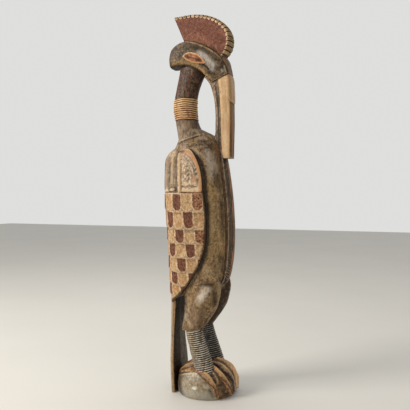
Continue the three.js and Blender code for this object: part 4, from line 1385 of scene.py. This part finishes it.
def wearFields(mesh):
    # how far each point stands proud of its neighbourhood (wear) or lies below it (dirt)
    spots, ways, edges = spotsOf(mesh), normalsOf(mesh), edgesOf(mesh)
    near = np.stack([spreadOut(spots[:, k], edges, 3) for k in range(3)], 1)
    wide = np.stack([spreadOut(spots[:, k], edges, 30) for k in range(3)], 1)
    fineLift = ((spots - near) * ways).sum(1) / mm
    wideLift = ((spots - wide) * ways).sum(1) / mm
    wear = np.clip(fineLift / 0.35, 0, 1) * 0.6 + np.clip((wideLift - 0.4) / 2.0, 0, 1) * 0.5
    dirt = np.clip(-fineLift / 0.35, 0, 1) * 0.6 + np.clip((-wideLift - 0.2) / 2.0, 0, 1) * 0.7
    setField(mesh, "wear", spreadOut(np.clip(wear, 0, 1), edges, 1))
    setField(mesh, "dirt", spreadOut(np.clip(dirt, 0, 1), edges, 2))


mendFields(carving.data)
easeThighs(carving.data)
wearFields(carving.data)
carvedBy(carving, toolTree, toolMarks)
mesh = carving.data
mesh.shade_smooth()
mesh.set_sharp_from_angle(angle=math.radians(38))
carving.name = "hornbill_wood"
mesh.name = "hornbill_wood"
low, high = (np.array(corner) for corner in cadBox)
spots = np.clip(spotsOf(mesh), low, high)
mesh.vertices.foreach_set("co", spots.ravel())
mesh.update()
print("triangles", sum(len(face.vertices) - 2 for face in mesh.polygons))

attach(carving, "root")
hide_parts("hornbill_carving")


# The room: a pale floor, a soft key from the camera's left, a weak fill from its right.
stageLook = {
    "floor": paint(214, 211, 204), "air": paint(238, 238, 236),
    "airStrength": {"behind": 0.86, "ahead": 0.34}, "airWay": (-0.45, 0.88, 0.15),  # brighter behind the carving
    "key": {"at": (-2.2, -2.0, 2.0), "size": 1.3, "power": 92.0, "tint": (1.0, 0.95, 0.88)},
    "fill": {"at": (2.4, -1.8, 1.4), "size": 2.0, "power": 5.0, "tint": (1.0, 0.97, 0.94)},
    "top": {"at": (-0.8, 0.6, 3.0), "size": 2.0, "power": 20.0, "tint": (1.0, 0.98, 0.95)},
}


def floorPlane():
    mesh = bpy.data.meshes.new("floor")
    mesh.from_pydata([(-8, -8, 0), (8, -8, 0), (8, 8, 0), (-8, 8, 0)], [], [(0, 1, 2, 3)])
    material = bpy.data.materials.new("floorPaint")
    material.use_nodes = True
    bench = Bench(material.node_tree)
    coat = material.node_tree.nodes["Principled BSDF"]
    place = bench.put("ShaderNodeTexCoord").outputs["Object"]
    cloud = bench.noise(place, 1.5, 4.0)
    bench.wire(bench.mixed(bench.span(cloud, 0.35, 0.65, 0.0, 0.25), stageLook["floor"], paint(200, 197, 190)),
               coat.inputs["Base Color"])
    coat.inputs["Roughness"].default_value = 0.7
    mesh.materials.append(material)
    floor = bpy.data.objects.new("floor", mesh)
    bpy.context.scene.collection.objects.link(floor)


def softLight(name, look, aim=(0, 0, 0.55)):
    data = bpy.data.lights.new(name, "AREA")
    data.size = look["size"]
    data.energy = look["power"]
    data.color = look["tint"]
    lamp = bpy.data.objects.new(name, data)
    lamp.location = look["at"]
    lamp.rotation_euler = (Vector(aim) - Vector(look["at"])).to_track_quat("-Z", "Y").to_euler()
    bpy.context.scene.collection.objects.link(lamp)


floorPlane()
for name in ("key", "fill", "top"):
    softLight(name, stageLook[name])
world = bpy.data.worlds.new("studio")
world.use_nodes = True
bench = Bench(world.node_tree)
air = world.node_tree.nodes["Background"]
air.inputs["Color"].default_value = stageLook["air"]
way = bench.put("ShaderNodeVectorMath", operation="DOT_PRODUCT")
bench.wire(bench.put("ShaderNodeTexCoord").outputs["Generated"], way.inputs[0])
way.inputs[1].default_value = stageLook["airWay"]
strength = stageLook["airStrength"]
bench.wire(bench.span(way.outputs["Value"], -0.8, 0.7, strength["ahead"], strength["behind"]), air.inputs["Strength"])
bpy.context.scene.world = world
bpy.context.scene.view_settings.view_transform = "Standard"

cameraLook = {"azimuth": 22.0, "distance": 1.618, "aside": 0.00703, "height": 0.589, "focal": 529.0, "horizonUp": 7.6, "frame": 410}
turn = math.radians(cameraLook["azimuth"])
eye = bpy.data.cameras.new("camera")
eye.sensor_width = 36.0
eye.lens = cameraLook["focal"] / cameraLook["frame"] * eye.sensor_width
eye.shift_y = -cameraLook["horizonUp"] / cameraLook["frame"]
camera = bpy.data.objects.new("camera", eye)
camera.location = (cameraLook["distance"] * math.sin(turn) - cameraLook["aside"] * math.cos(turn),
                   -cameraLook["distance"] * math.cos(turn) - cameraLook["aside"] * math.sin(turn), cameraLook["height"])
camera.rotation_euler = (math.pi / 2, 0, turn)
bpy.context.scene.collection.objects.link(camera)
bpy.context.scene.camera = camera
